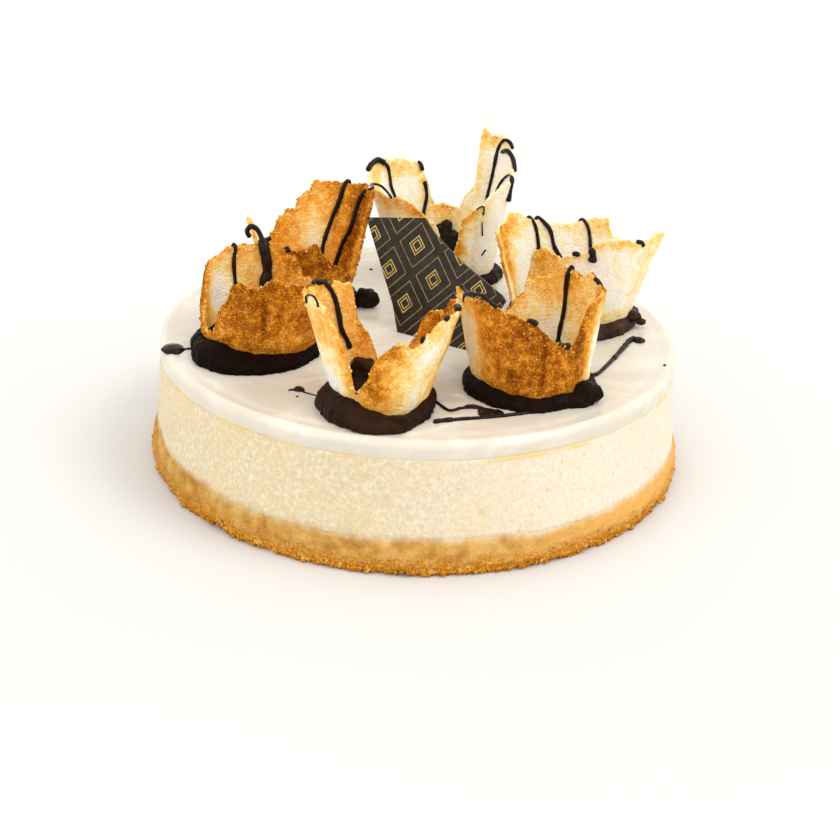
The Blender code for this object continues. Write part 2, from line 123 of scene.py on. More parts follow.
# Each basket: foot and mouth as (x, y, half width, half depth) in mm; rim as
# (angle in degrees from +X, height over the cream in mm); puddle spread as (angle, mm past
# the foot) and skirt as (angle, mm up the wall); bloom as how brown the puddle is, from 0 to 1;
# toast_and_shading as how brown the two faces are before their patches, from 0 to 1;
# patches as (face, angle, height, half width in degrees, half height in mm, change of toast),
# most of them toast and a few painted shade or painted light, marked where they stand;
# creases as (angle, half width in degrees, depth in mm); lines of drizzle as
# (radius, points), each point (angle, height, depth behind the outer face), in mm and degrees
BASKETS = {
    "left": {
        "foot": (-67.0, -21.0, 25.0, 22.0),
        "mouth": (-66.0, -20.0, 27.0, 27.0),
        "rim": ((0, 28), (22, 25.5), (50, 23.5), (55, 28), (62, 31), (74, 33.5), (88, 34.5),
                (127, 34), (140, 32), (153, 31.8), (163, 29.5), (172, 24), (178, 19.5),
                (184, 19), (190, 15.5), (200, 12.5), (210, 11), (222, 10), (226, 10.8),
                (233, 19.5), (240, 24.8), (246, 29), (250, 34.5), (258, 36.2), (264, 34),
                (271, 33.6), (278, 35), (284, 37.6), (288, 37), (298, 34.2), (313, 33.8),
                (342, 31)),
        "spread": ((0, 2.5), (90, 3), (162, 2.5), (191, 3), (204, 4), (225, 10), (243, 13),
                   (259, 13), (284, 10), (307, 7), (344, 3)),
        "skirt": ((0, 4.5), (90, 4.5), (176, 4.5), (198, 7), (228, 8.6), (242, 8.2),
                  (257, 6.6), (271, 5.4), (290, 4.8), (310, 3.8)),
        "fill": 4.0,
        "bloom": 0.0,
        "toast_and_shading": {"outer": 0.56, "inner": 0.25},
        "patches": (("inner", 142, 17, 22, 11, -0.30), ("inner", 172, 12, 14, 16, 0.22),
                    ("inner", 66, 28, 16, 9, 0.30), ("inner", 112, 31, 26, 4, 0.06),
                    ("outer", 243, 24, 14, 6, 0.05), ("outer", 262, 31, 14, 5, 0.07),
                    # The narrow patch at 279 degrees darkens the crease there: painted shade in
                    # the fold.
                    ("outer", 279, 22, 3, 9, 0.20), ("outer", 270, 24, 7, 5, 0.12),
                    ("outer", 312, 9, 22, 4, -0.14), ("outer", 243, 13, 14, 3.5, -0.16),
                    ("outer", 220, 14, 10, 6, -0.22), ("outer", 252, 10, 14, 3, 0.12)),
        "creases": ((279, 3.0, 1.1), (232, 4.0, 0.6), (181, 26.0, 1.5)),
        "lines": ((0.8, ((122, 32.5, -0.5), (121, 35.4, 0.6), (120, 34.2, 1.9),
                         (122, 30.0, 2.1), (122, 25.0, 2.2), (120, 17.5, 2.2))),
                  (2.4, ((93, 32.6, -0.2), (93, 35.4, 0.8), (92, 33.5, 2.2), (88, 25.5, 2.6),
                         (90, 16.0, 2.6))),
                  (1.1, ((105, 37.4, 0.5), (108, 40.2, 0.5), (105, 42.2, 0.5),
                         (100, 41.4, 0.6), (96, 38.6, 0.7), (93, 35.2, 1.4))),
                  (0.8, ((94, 35.9, 0.8), (90, 36.6, 0.5), (86, 37.8, 0.3))),
                  (0.9, ((73, 32.0, -0.3), (70, 34.3, 0.6), (66, 33.0, 1.6)))),
    },
    "back_left": {
        "foot": (-49.0, 35.0, 16.5, 17.0),
        "mouth": (-51.0, 37.0, 29.0, 25.0),
        "rim": ((5, 14), (13, 24), (18, 38), (22, 46), (36, 48), (54, 47), (70, 46.5),
                (88, 45.5), (92, 41), (103, 38), (105, 33.8), (113, 32.5), (123, 30.8),
                (134, 25.2), (144, 22.8), (152, 22), (165, 26), (174, 33), (182, 36),
                (191, 35), (200, 28), (215, 25), (235, 27), (250, 29), (266, 30),
                (275, 31.2), (282, 32.8), (287, 28), (295, 24.2), (306, 21.2), (320, 17.8),
                (338, 12.5), (350, 11.5)),
        "spread": ((0, 5), (30, 3), (90, 3), (180, 3), (250, 3.5), (310, 6), (335, 8)),
        "skirt": ((0, 5), (180, 5)),
        "fill": 4.0,
        "bloom": 0.15,
        "toast_and_shading": {"outer": 0.52, "inner": 0.36},
        # The inner patch at 88 degrees is partly the wafer's pale middle and partly painted light:
        # the glow through the thin wafer inside the cup.
        "patches": (("inner", 88, 22, 16, 12, -0.26), ("inner", 68, 36, 9, 9, 0.02),
                    ("inner", 34, 28, 15, 26, 0.42), ("outer", 285, 24, 30, 8, 0.08),
                    ("outer", 186, 31, 14, 8, -0.44), ("inner", 178, 31, 14, 8, -0.28),
                    ("outer", 340, 10, 26, 10, 0.06), ("inner", 130, 26, 20, 5, 0.05)),
        "creases": ((62, 4.0, -0.9), (284, 5.0, 1.0)),
        "lines": ((1.0, ((54, 44.0, -0.6), (55, 47.6, 0.6), (57, 45.6, 1.9),
                         (60, 39.0, 2.1), (67, 29.5, 2.2), (74, 20.0, 2.3),
                         (79, 9.0, 2.3))),
                  (1.0, ((31, 46.6, 1.6), (36, 40.5, 2.1), (38, 29.5, 2.2), (46, 21.0, 2.3),
                         (53, 10.0, 2.3)))),
    },
    "back": {
        "foot": (10.5, 72.0, 22.5, 19.0),
        "mouth": (8.0, 74.0, 32.0, 25.0),
        "rim": ((5, 52), (12, 54.5), (22, 58.5), (33, 60), (37, 62.2), (40, 61.4),
                (51, 61.2), (57, 62.8), (58.3, 59), (58.6, 50), (58.9, 40), (60, 36.5),
                (66, 32.5), (70, 28.8), (74, 24.5), (78, 25), (88, 26.2), (97, 25.2),
                (102, 33), (105, 43), (111, 45.5), (126, 48.5), (149, 49), (159, 47.5),
                (177, 45), (192, 42.6), (213, 41.6), (224, 40.2), (236, 42), (246, 38.8),
                (254, 34.8), (263, 32), (267, 27), (271, 15), (279, 13), (283, 18),
                (287, 28.5), (289, 34.5), (299, 38.5), (306, 40.2), (311, 43), (322, 46.8),
                (333, 47.6), (345, 47.6)),
        "spread": ((0, 5), (90, 3), (180, 3), (270, 4), (330, 5)),
        "skirt": ((0, 5), (180, 5)),
        "fill": 6.0,
        "bloom": 0.3,
        "toast_and_shading": {"outer": 0.09, "inner": 0.04},
        "patches": (("inner", 50, 60, 16, 7, 0.17), ("inner", 56, 42, 5, 16, 0.10),
                    ("inner", 86, 24, 16, 7, 0.22), ("outer", 226, 40, 28, 5, 0.18),
                    ("outer", 252, 35, 10, 5, 0.18), ("outer", 285, 22, 6, 14, 0.28),
                    ("outer", 296, 37, 10, 4, 0.20), ("outer", 325, 28, 22, 18, -0.10),
                    ("outer", 230, 20, 30, 10, -0.03), ("inner", 135, 44, 26, 4, 0.14),
                    ("inner", 108, 34, 4, 14, 0.14), ("inner", 168, 40, 10, 6, 0.12)),
        "creases": ((44, 3.5, -0.8), (300, 4.0, 0.7)),
        "lines": ((1.15, ((171, 46.4, -0.4), (163, 48.4, 0.4), (153, 49.6, 1.2),
                          (146, 47.6, 1.9))),
                  (0.8, ((150, 48.8, 1.6), (144, 46.0, 2.0), (144, 41.0, 2.0),
                         (145, 37.0, 2.0), (143, 33.0, 2.0), (141, 28.5, 2.0))),
                  (0.85, ((110, 46.2, 0.6), (108, 45.0, 1.8), (107, 42.0, 2.0))),
                  (0.9, ((106, 37.5, 2.0), (105, 31.0, 2.0), (108, 25.5, 2.0),
                         (112, 21.0, 2.0))),
                  (0.85, ((20, 57.6, -0.2), (25, 60.2, 0.6), (33, 60.2, 1.7),
                          (38, 55.5, 2.0), (39, 47.0, 2.0), (40, 40.0, 2.0),
                          (42, 30.5, 2.0))),
                  (1.0, ((32, 55.0, 2.1), (22, 56.8, 2.0), (13, 55.2, 0.9),
                         (6, 52.4, 0.0), (1, 49.6, -0.5))),
                  (0.65, ((30, 34.5, 2.1), (25, 40.0, 2.1), (17, 44.6, 2.0),
                          (4, 47.8, 1.3), (348, 48.8, 0.7))),
                  (1.15, ((352, 48.6, 0.8), (344, 47.2, 0.0), (340, 43.0, -0.6),
                          (339, 38.5, -0.7))),
                  (0.35, ((299, 38.6, -0.1), (303, 39.9, -0.1), (306, 39.2, -0.2),
                          (306, 35.5, -0.2))),
                  (0.3, ((306, 32.5, -0.2), (309, 25.2, -0.2))),
                  (0.35, ((312, 15.2, -0.2), (317, 17.8, -0.2))),
                  (2.8, ((93, 18.5, 4.4), (94, 11.0, 4.6), (95, 5.0, 4.8))),
                  (3.2, ((85, 20.5, 4.6), (85, 13.0, 4.8), (85, 5.0, 5.0))),
                  (3.0, ((76, 16.0, 4.6), (77, 10.0, 4.8), (78, 4.0, 5.0))),
                  (2.6, ((68, 13.0, 4.4), (69, 8.0, 4.6), (70, 4.0, 4.8)))),
    },
    "back_right": {
        "foot": (67.0, 24.0, 25.0, 22.0),
        "mouth": (68.5, 27.0, 37.0, 29.0),
        "rim": ((5, 36), (20, 28), (40, 26), (58, 30), (66, 37), (78, 36), (88, 33.5),
                (101, 33), (116, 35.5), (126, 36.5), (135, 39.5), (147, 41), (156, 38),
                (164, 37), (172, 36), (178, 35), (183, 22), (190, 10), (205, 7), (222, 9),
                (226, 23.5), (230, 30.5), (234, 36.5), (242, 39.8), (248, 37.2),
                (255, 35.2), (264, 37.8), (274, 41), (281, 43.8), (290, 45.2), (300, 44),
                (309, 42), (316, 42.4), (323, 45), (335, 43), (350, 41)),
        "spread": ((14, 6), (90, 3), (180, 3), (240, 5), (285, 8), (312, 5.5), (350, 4.5)),
        "skirt": ((0, 5), (180, 5), (290, 5.6)),
        "fill": 4.5,
        "bloom": 1.0,
        "toast_and_shading": {"outer": 0.035, "inner": 0.05},
        "patches": (("inner", 150, 35, 14, 6, 0.20), ("inner", 176, 30, 8, 12, 0.16),
                    ("inner", 138, 20, 8, 14, -0.05), ("inner", 65, 32, 16, 5, 0.14),
                    ("outer", 243, 34, 13, 9, 0.30), ("outer", 238, 18, 9, 14, 0.26),
                    ("inner", 166, 24, 11, 26, 0.30), ("outer", 328, 34, 14, 20, 0.12),
                    ("outer", 287, 43, 28, 3, 0.16), ("outer", 300, 7, 50, 4, 0.12),
                    ("outer", 184, 24, 12, 24, 0.38)),
        "creases": ((128, 4.0, 0.7), (262, 5.0, 0.9)),
        "lines": ((0.85, ((128, 34.5, -0.5), (127, 37.2, 0.6), (124, 34.5, 1.9),
                          (122, 30.0, 2.0), (121, 22.5, 2.1))),
                  (0.95, ((121, 34.0, -0.5), (119, 36.6, 0.6), (113, 33.5, 1.9),
                          (109, 30.0, 2.0), (106, 23.8, 2.1), (99, 18.0, 2.1))),
                  (0.8, ((87, 33.2, -0.4), (84, 35.0, 0.7), (80, 33.0, 1.9),
                         (77, 29.0, 2.0), (74, 22.5, 2.0))),
                  (1.5, ((273, 41.0, 0.5), (275, 40.0, -0.3), (276, 37.5, -0.7),
                         (276, 35.0, -0.8))),
                  (0.95, ((262, 37.8, 0.4), (265, 38.4, 0.2), (267, 37.4, -0.2))),
                  (0.95, ((312, 40.5, -0.4), (310, 42.6, 0.5), (306, 42.8, 1.4)))),
    },
    "front_right": {
        "foot": (46.5, -53.0, 22.5, 21.0),
        "mouth": (44.0, -53.0, 28.5, 25.0),
        "rim": ((5, 42), (16, 42), (25, 45), (38, 42.5), (50, 43.2), (58, 42.5), (78, 38.8),
                (91, 36.5), (93, 31), (106, 24.8), (120, 20), (150, 18), (172, 24),
                (184, 36), (189, 43.6), (195, 42), (201, 40.8), (212, 41.8), (226, 43.4),
                (242, 40.5), (254, 39.5), (264, 36.9), (271, 36), (278, 33), (285, 28.8),
                (292, 27), (303, 25), (309, 26), (312, 29), (316, 37), (320, 42),
                (328, 43), (345, 43)),
        "spread": ((24, 3), (90, 2.5), (157, 5), (196, 6), (235, 7), (267, 6.5),
                   (299, 4), (317, 7), (350, 5)),
        "skirt": ((0, 5), (90, 5), (184, 6.4), (206, 6), (229, 5.4), (246, 4.8), (262, 4.2),
                  (275, 4), (290, 5)),
        "fill": 4.0,
        "bloom": 0.1,
        "toast_and_shading": {"outer": 0.56, "inner": 0.17},
        "patches": (("outer", 197, 22, 20, 28, -0.54), ("outer", 214, 30, 8, 12, -0.12),
                    # The narrow patch at 279 degrees darkens the crease there: painted shade in
                    # the fold.
                    ("outer", 262, 20, 26, 14, 0.05), ("outer", 279, 17, 3, 12, 0.16),
                    ("outer", 252, 11, 6, 3.5, 0.26), ("outer", 290, 10, 18, 9, 0.05),
                    ("outer", 270, 31, 16, 4, 0.08), ("outer", 340, 20, 13, 28, -0.50),
                    ("outer", 314, 24, 5, 12, 0.20), ("inner", 72, 14, 26, 9, -0.08),
                    ("inner", 52, 37, 34, 8, 0.15), ("inner", 2, 32, 8, 16, 0.44),
                    ("inner", 66, 14, 16, 9, -0.12)),
        "creases": ((279, 2.6, 1.2), (214, 4.0, 0.5), (352, 4.0, 0.8), (189, 6.0, -1.4)),
        "lines": ((0.95, ((52, 41.5, -0.5), (52, 44.4, 0.6), (53, 42.2, 1.9),
                          (54, 38.0, 2.1), (54, 27.0, 2.2), (57, 17.5, 2.3),
                          (58, 11.5, 2.3))),
                  (0.5, ((202, 38.6, -0.3), (203, 41.4, 0.2), (208, 43.2, 0.5),
                         (214, 43.4, 0.5), (221, 44.2, 0.4))),
                  (0.7, ((190, 43.6, 0.6), (200, 42.8, 1.4), (214, 44.0, 1.4),
                         (228, 45.0, 1.2), (234, 43.6, 0.6), (241, 41.6, 0.2))),
                  (1.0, ((264, 37.2, 0.4), (269, 36.9, 0.8), (273, 35.4, 0.6))),
                  (0.9, ((21, 44.0, 1.5), (15, 43.0, 0.7), (10, 40.5, -0.2))),
                  (1.2, ((291, 27.0, 0.6), (298, 25.8, 0.8), (305, 25.4, 0.7)))),
    },
    "front": {
        "foot": (-14.0, -76.0, 17.5, 17.5),
        "mouth": (-13.0, -74.0, 30.0, 24.0),
        "rim": ((0, 41), (12, 39.8), (22, 40.2), (29, 39), (33, 34), (35, 31.5),
                (38, 33.4), (46, 33.6), (52, 31.5), (55, 27), (57, 21.5), (61, 18.5),
                (66, 15), (74, 13), (85, 10), (96, 11.8), (100, 15), (104, 18.8),
                (108, 22.8), (113, 25), (116, 28.5), (118, 33), (119, 38), (121, 42.2),
                (138, 43), (163, 43.8), (190, 44.6), (203, 46.4), (213, 46.6), (219, 43.5),
                (228, 36), (236, 24.5), (239, 15), (241, 9.5), (244, 9.5), (248, 13.5),
                (253, 15.5), (258, 18), (260.5, 22.2), (264, 26.5), (272, 29.2),
                (277, 32.4), (285, 33.8), (291, 32.4), (294, 31.2), (298, 32.2),
                (304, 35.8), (309, 36.4), (311, 39), (316, 41.2), (328, 42), (345, 42)),
        "spread": ((31, 6), (90, 4), (147, 6), (196, 8), (216, 9.5), (244, 11), (268, 12),
                   (285, 12), (309, 7), (348, 4)),
        "skirt": ((0, 6), (90, 5), (160, 6.5), (190, 8), (212, 8.8), (240, 8.8), (248, 7),
                  (258, 5.4), (270, 4.2), (284, 2.8), (302, 2.9), (318, 4.2), (332, 6)),
        "fill": 7.5,
        "bloom": 0.36,
        "toast_and_shading": {"outer": 0.19, "inner": 0.28},
        "patches": (("outer", 200, 12, 30, 13, -0.18), ("outer", 208, 34, 18, 10, 0.09),
                    ("outer", 234, 22, 6, 20, 0.14), ("outer", 264, 15, 17, 14, 0.35),
                    ("outer", 280, 30, 9, 5, 0.22), ("outer", 312, 24, 18, 18, -0.10),
                    ("outer", 347, 26, 7, 30, 0.18), ("outer", 212, 45, 10, 3, -0.12),
                    ("inner", 114, 20, 9, 18, 0.10), ("inner", 30, 30, 36, 14, 0.34),
                    ("inner", 140, 36, 14, 10, -0.06)),
        "creases": ((300, 5.0, -0.8), (212, 5.0, 0.8)),
        "lines": ((0.95, ((150, 40.5, -0.5), (148, 44.2, 0.6), (143, 42.0, 1.9),
                          (139, 37.0, 2.1), (138, 30.5, 2.2), (138, 25.0, 2.2),
                          (133, 20.0, 2.2), (131, 16.5, 2.2))),
                  (0.9, ((160, 45.0, 1.6), (154, 44.9, 0.2), (150, 44.3, 1.2),
                         (146, 43.8, 0.2), (141, 43.9, 0.9))),
                  (0.42, ((198, 43.0, -0.3), (201, 46.2, -0.2), (206, 47.6, 0.4),
                          (212, 47.6, 0.4), (216, 46.2, -0.2), (216, 44.2, -0.3))),
                  (1.0, ((318, 41.4, 0.4), (322, 42.0, 0.8), (326, 41.4, 1.4))),
                  (0.9, ((300, 33.6, 0.2), (302, 35.2, 0.8), (304, 34.6, 1.5))),
                  (1.3, ((340, 42.4, 1.0), (350, 42.0, 1.6), (0, 40.8, 1.9)))),
    },
}

# Lumps of chocolate on four puddles: (x, y, z over the cream, radius, height) in mm
PUDDLE_LUMPS = {
    "back_left": ((-23.5, 27.0, 0.0, 5.4, 8.0),),
    "front_right": ((67.5, -66.0, 0.0, 6.4, 8.2),),
    "back_right": ((94.0, 15.5, 2.6, 3.1, 4.6), (97.0, 13.0, 1.6, 2.2, 3.0)),
    "front": ((-21.0, -63.0, 3.0, 6.2, 10.0),),
}

# Chocolate let fall on the cream, in mm: drops as (x, y, radius, height), lines as (radius,
# points); every line of chocolate has LINE_SIDES sides
DROPS = ((-101.6, -30.6, 4.9, 1.9), (-46.7, -66.5, 2.2, 1.4), (28.0, -82.0, 4.0, 1.6),
         (95.0, -1.4, 2.7, 1.6), (-46.9, -73.0, 0.6, 0.4), (103.4, -27.2, 0.7, 0.5),
         (-23.4, 74.0, 0.9, 0.5), (31.8, -81.2, 2.6, 1.2))
DRIPS = (
    (0.55, ((-98.6, -30.4), (-95.8, -29.8), (-93.6, -29.0))),
    (0.5, ((-50.9, -67.7), (-46.7, -66.5), (-44.1, -69.3))),
    (0.35, ((-45.0, -68.6), (-40.0, -71.4), (-36.0, -73.0))),
    (1.1, ((6.9, -92.7), (10.0, -91.3), (15.0, -89.8))),
    (0.85, ((11.0, -91.0), (17.3, -89.0), (29.0, -86.1), (40.8, -81.8), (46.4, -79.0),
            (51.0, -75.7))),
    (0.7, ((5.6, -70.4), (8.4, -74.0), (13.1, -81.1), (17.4, -78.8), (21.4, -77.0))),
    (0.95, ((19.0, -78.0), (22.0, -77.2), (25.3, -78.1), (29.9, -81.0))),
    (0.95, ((71.4, -42.4), (74.6, -39.1), (78.5, -31.4), (83.1, -21.4))),
    (1.15, ((82.0, -24.0), (87.3, -11.2), (90.8, -3.0), (93.6, 0.6))),
)
LINE_SIDES = 14

# Thread of chocolate from the back left basket to the back one: (basket, angle, height over
# the cream in mm)
THREAD = (("back_left", 33.0, 46.0), ("back_left", 24.0, 48.2), ("back", 196.0, 43.6),
          ("back", 208.0, 45.4), ("back", 215.0, 45.4), ("back", 221.0, 43.4),
          ("back", 225.0, 40.6))

# The plaque leans back on a line across the cream; its outline is (along, up) in mm
PLAQUE_FOOT_LEFT = (-8.0, -1.8)
PLAQUE_FOOT_RIGHT = (21.1, -18.4)
PLAQUE_LEAN_DEGREES = 20.0
PLAQUE_THICK = 1.9 * MM
PLAQUE_BEVEL = 0.28 * MM
PLAQUE_OUTLINE = ((-27.4, 44.8), (-6.0, 11.0), (-1.0, 0.0), (0.0, -3.0), (33.4, -3.0),
                  (33.9, 0.0), (41.0, 13.0), (46.0, 23.6), (43.5, 25.8), (22.1, 35.4),
                  (6.5, 44.7), (0.7, 50.0))

# Printed lines of one diamond: (inner edge, outer edge), from 0 in its middle to 0.5 at its rim
DIAMOND_LINES = ((0.380, 0.393), (0.155, 0.176), (0.088, 0.108))
DIAMOND_LINE_SOFTNESS = 0.007


class CakeSettings(bpy.types.PropertyGroup):
    """Relief and colours of the base, the filling and the cream."""

    crumb_relief: FloatProperty(name="Crumb relief", description="Depth of the pressed crumbs",
                                default=1.0 * MM, unit="LENGTH")
    hem_depth: FloatProperty(name="Broken edge", description="Depth of gaps under the edge",
                             default=2.6 * MM, unit="LENGTH")
    crumb_count: IntProperty(name="Crumbs", description="Crumbs that cling to the base",
                             default=1250, min=0)
    cream_edge: FloatProperty(name="Cream edge", description="Radius of the cream's shoulder",
                              default=3.2 * MM, unit="LENGTH")
    biscuit_colour: FloatVectorProperty(name="Biscuit", description="Pressed biscuit crumb",
                                        default=(0.52, 0.182, 0.010), subtype="COLOR")
    filling_colour: FloatVectorProperty(name="Filling", description="Baked filling",
                                        default=(0.715, 0.61, 0.415), subtype="COLOR")
    cream_colour: FloatVectorProperty(name="Cream", description="Cream topping",
                                      default=(0.715, 0.665, 0.568), subtype="COLOR")


class WaferSettings(bpy.types.PropertyGroup):
    """Thickness, relief and colours of the wafer baskets."""

    thick_low: FloatProperty(name="Thickness at the foot", description="Wafer at the cream",
                             default=2.2 * MM, unit="LENGTH")
    thick_high: FloatProperty(name="Thickness at the rim", description="Wafer at the rim",
                              default=1.5 * MM, unit="LENGTH")
    grain_relief: FloatProperty(name="Grain", description="Relief of the toasted grains",
                                default=0.7 * MM, unit="LENGTH")
    rim_bite: FloatProperty(name="Rim bites", description="Depth of the small rim breaks",
                            default=2.6 * MM, unit="LENGTH")
    rim_toast: FloatProperty(name="Rim toast", description="Extra browning at the rim",
                             default=0.08)
    pale_colour: FloatVectorProperty(name="Pale wafer", description="Least baked wafer",
                                     default=(0.97, 0.71, 0.25), subtype="COLOR")
    gold_colour: FloatVectorProperty(name="Golden wafer", description="Half toasted wafer",
                                     default=(0.84, 0.34, 0.024), subtype="COLOR")
    brown_colour: FloatVectorProperty(name="Brown wafer", description="Well toasted wafer",
                                      default=(0.30, 0.072, 0.001), subtype="COLOR")


class ChocolateSettings(bpy.types.PropertyGroup):
    """Chocolate of the puddles, the drizzle and the plaque."""

    chocolate_colour: FloatVectorProperty(name="Chocolate", description="Melted dark chocolate",
                                          default=(0.0062, 0.0028, 0.0018), subtype="COLOR")
    plaque_colour: FloatVectorProperty(name="Plaque", description="Thin dark plaque",
                                       default=(0.025, 0.0155, 0.0100), subtype="COLOR")
    print_colour: FloatVectorProperty(name="Print", description="Gold lines on the plaque",
                                      default=(0.58, 0.42, 0.11), subtype="COLOR")
    lattice_pitch: FloatProperty(name="Lattice pitch", description="From diamond to diamond",
                                 default=22.0 * MM, unit="LENGTH")


class StageSettings(bpy.types.PropertyGroup):
    """Camera, floor and light."""

    camera_distance: FloatProperty(name="Camera distance", description="From the cake's foot",
                                   default=0.8, unit="LENGTH")
    camera_height: FloatProperty(name="Camera elevation", description="Angle over the floor",
                                 default=math.radians(25.96), subtype="ANGLE")
    camera_turn: FloatVectorProperty(name="Camera turn", description="Yaw, pitch and roll",
                                     default=(math.radians(-0.155), math.radians(0.889),
                                              math.radians(-2.2)), subtype="EULER")
    lens: FloatProperty(name="Lens", description="Focal length on a 36 mm sensor",
                        default=77.07)
    room_light: FloatProperty(name="Room light", description="Even light from all round",
                              default=1.13)
    key_light: FloatProperty(name="Key light", description="Soft light from the upper right",
                             default=0.95)
    fill_light: FloatProperty(name="Fill light", description="Soft light from the front left",
                              default=0.54)


def soft_noise(points, size, seed=0.0):
    """Smooth noise from about -1 to 1 at an array of points, in lumps of one size."""
    places = (points / size + seed).reshape(-1, 3).tolist()
    values = np.array([noise.noise(place) for place in places])
    return values.reshape(points.shape[:-1])


def grain_noise(points, size, seed=0.0):
    """Rounded grains: 1 in the middle of each, down to about 0 where they meet."""
    places = (points / size + seed).reshape(-1, 3).tolist()
    nearest = np.array([noise.voronoi(place)[0][0] for place in places])
    return np.clip(1.0 - 1.3 * nearest * nearest, 0.0, 1.0).reshape(points.shape[:-1])


def around_table(degrees, table):
    """Values of a table of (degrees, value) that closes on itself."""
    angles, values = zip(*sorted(table))
    return np.interp(degrees, angles, values, period=360.0)


def rounded(values, rounds):
    """Take the corners off a row of values; its two ends stay."""
    values = np.array(values, float)
    for _ in range(rounds):
        values[1:-1] = 0.25 * values[:-2] + 0.5 * values[1:-1] + 0.25 * values[2:]
    return values


def even_turns(count):
    """Angles in radians of points spaced evenly round a full turn."""
    return np.linspace(0.0, 2.0 * math.pi, count, endpoint=False)


def degrees_apart(degrees, middle):
    """How far angles lie from one of them, from -180 to 180."""
    return (degrees - middle + 180.0) % 360.0 - 180.0


def circle_points(turns, radii, heights):
    """Ring of points, an array (points, 3)."""
    return np.stack((radii * np.cos(turns), radii * np.sin(turns),
                     np.broadcast_to(heights, turns.shape)), axis=-1)


def ring_faces(rings, around, looped=False, low_cap=False, high_cap=False):
    """Faces that join rings of points, and the extra middle points of the caps."""
    index = np.arange(rings * around).reshape(rings, around)
    lower, upper = (index, np.roll(index, -1, axis=0)) if looped else (index[:-1], index[1:])
    faces = np.stack((lower, np.roll(lower, -1, axis=1), np.roll(upper, -1, axis=1), upper),
                     axis=-1).reshape(-1, 4).tolist()
    middle = rings * around
    if low_cap:
        faces += [(int(b), int(a), middle) for a, b in zip(index[0], np.roll(index[0], -1))]
        middle += 1
    if high_cap:
        faces += [(int(a), int(b), middle) for a, b in zip(index[-1], np.roll(index[-1], -1))]
    return faces


def make_piece(name, points, faces, finish, toast_and_shading=None, place=None):
    """Smooth shaded object that rides on the cake."""
    mesh = bpy.data.meshes.new(name)
    mesh.from_pydata(points.tolist(), [], faces)
    mesh.shade_smooth()
    mesh.materials.append(finish)
    if toast_and_shading is not None:
        layer = mesh.attributes.new("toast_and_shading", "FLOAT", "POINT")
        layer.data.foreach_set("value", toast_and_shading.astype(np.float32))
    piece = bpy.data.objects.new(name, mesh)
    bpy.context.scene.collection.objects.link(piece)
    if place is not None:
        piece.matrix_world = place
    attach(piece, "root")
    return piece


def sink(rings, inset):
    """Move the points of an array of rings in towards the cake's axis."""
    radii = np.hypot(rings[..., 0], rings[..., 1])
    rings[..., :2] *= ((radii - inset) / radii)[..., None]


def turned_shape(rings):
    """Points and faces of an array (rings, points round, 3), capped at both ends."""
    middles = np.stack((rings[0].mean(axis=0), rings[-1].mean(axis=0)))
    points = np.concatenate((rings.reshape(-1, 3), middles))
    return points, ring_faces(*rings.shape[:2], low_cap=True, high_cap=True)


def joined(parts):
    """Several (points, faces) as one."""
    points = []
    faces = []
    start = 0
    for some_points, some_faces in parts:
        points.append(some_points)
        faces += [[corner + start for corner in face] for face in some_faces]
        start += len(some_points)
    return np.concatenate(points), faces


def ball(subdivisions):
    """Points and faces of a unit ball of triangles."""
    maker = bmesh.new()
    bmesh.ops.create_icosphere(maker, subdivisions=subdivisions, radius=1.0)
    points = np.array([vert.co for vert in maker.verts])
    faces = np.array([[vert.index for vert in face.verts] for face in maker.faces])
    maker.free()
    return points, faces


def scatter(places, sizes, seed, rough, subdivisions=2):
    """Points and faces of one uneven lump at each place."""
    chance = np.random.default_rng(seed)
    points, faces = ball(subdivisions)
    all_points = []
    all_faces = []
    for number, (place, size) in enumerate(zip(places, sizes)):
        spin = chance.uniform(0.0, 6.28)
        turn = Matrix.Rotation(spin, 3, Vector(chance.normal(size=3)))
        squeeze = chance.uniform(0.65, 1.0, 3)
        shape = points * squeeze
        swell = 1.0 + rough * soft_noise(shape, 0.8, 7.3 * number + seed)
        lump = (shape * swell[:, None]) @ np.array(turn).T
        all_points.append(place + size * lump)
        all_faces.append(faces + number * len(points))
    return np.concatenate(all_points), np.concatenate(all_faces).tolist()


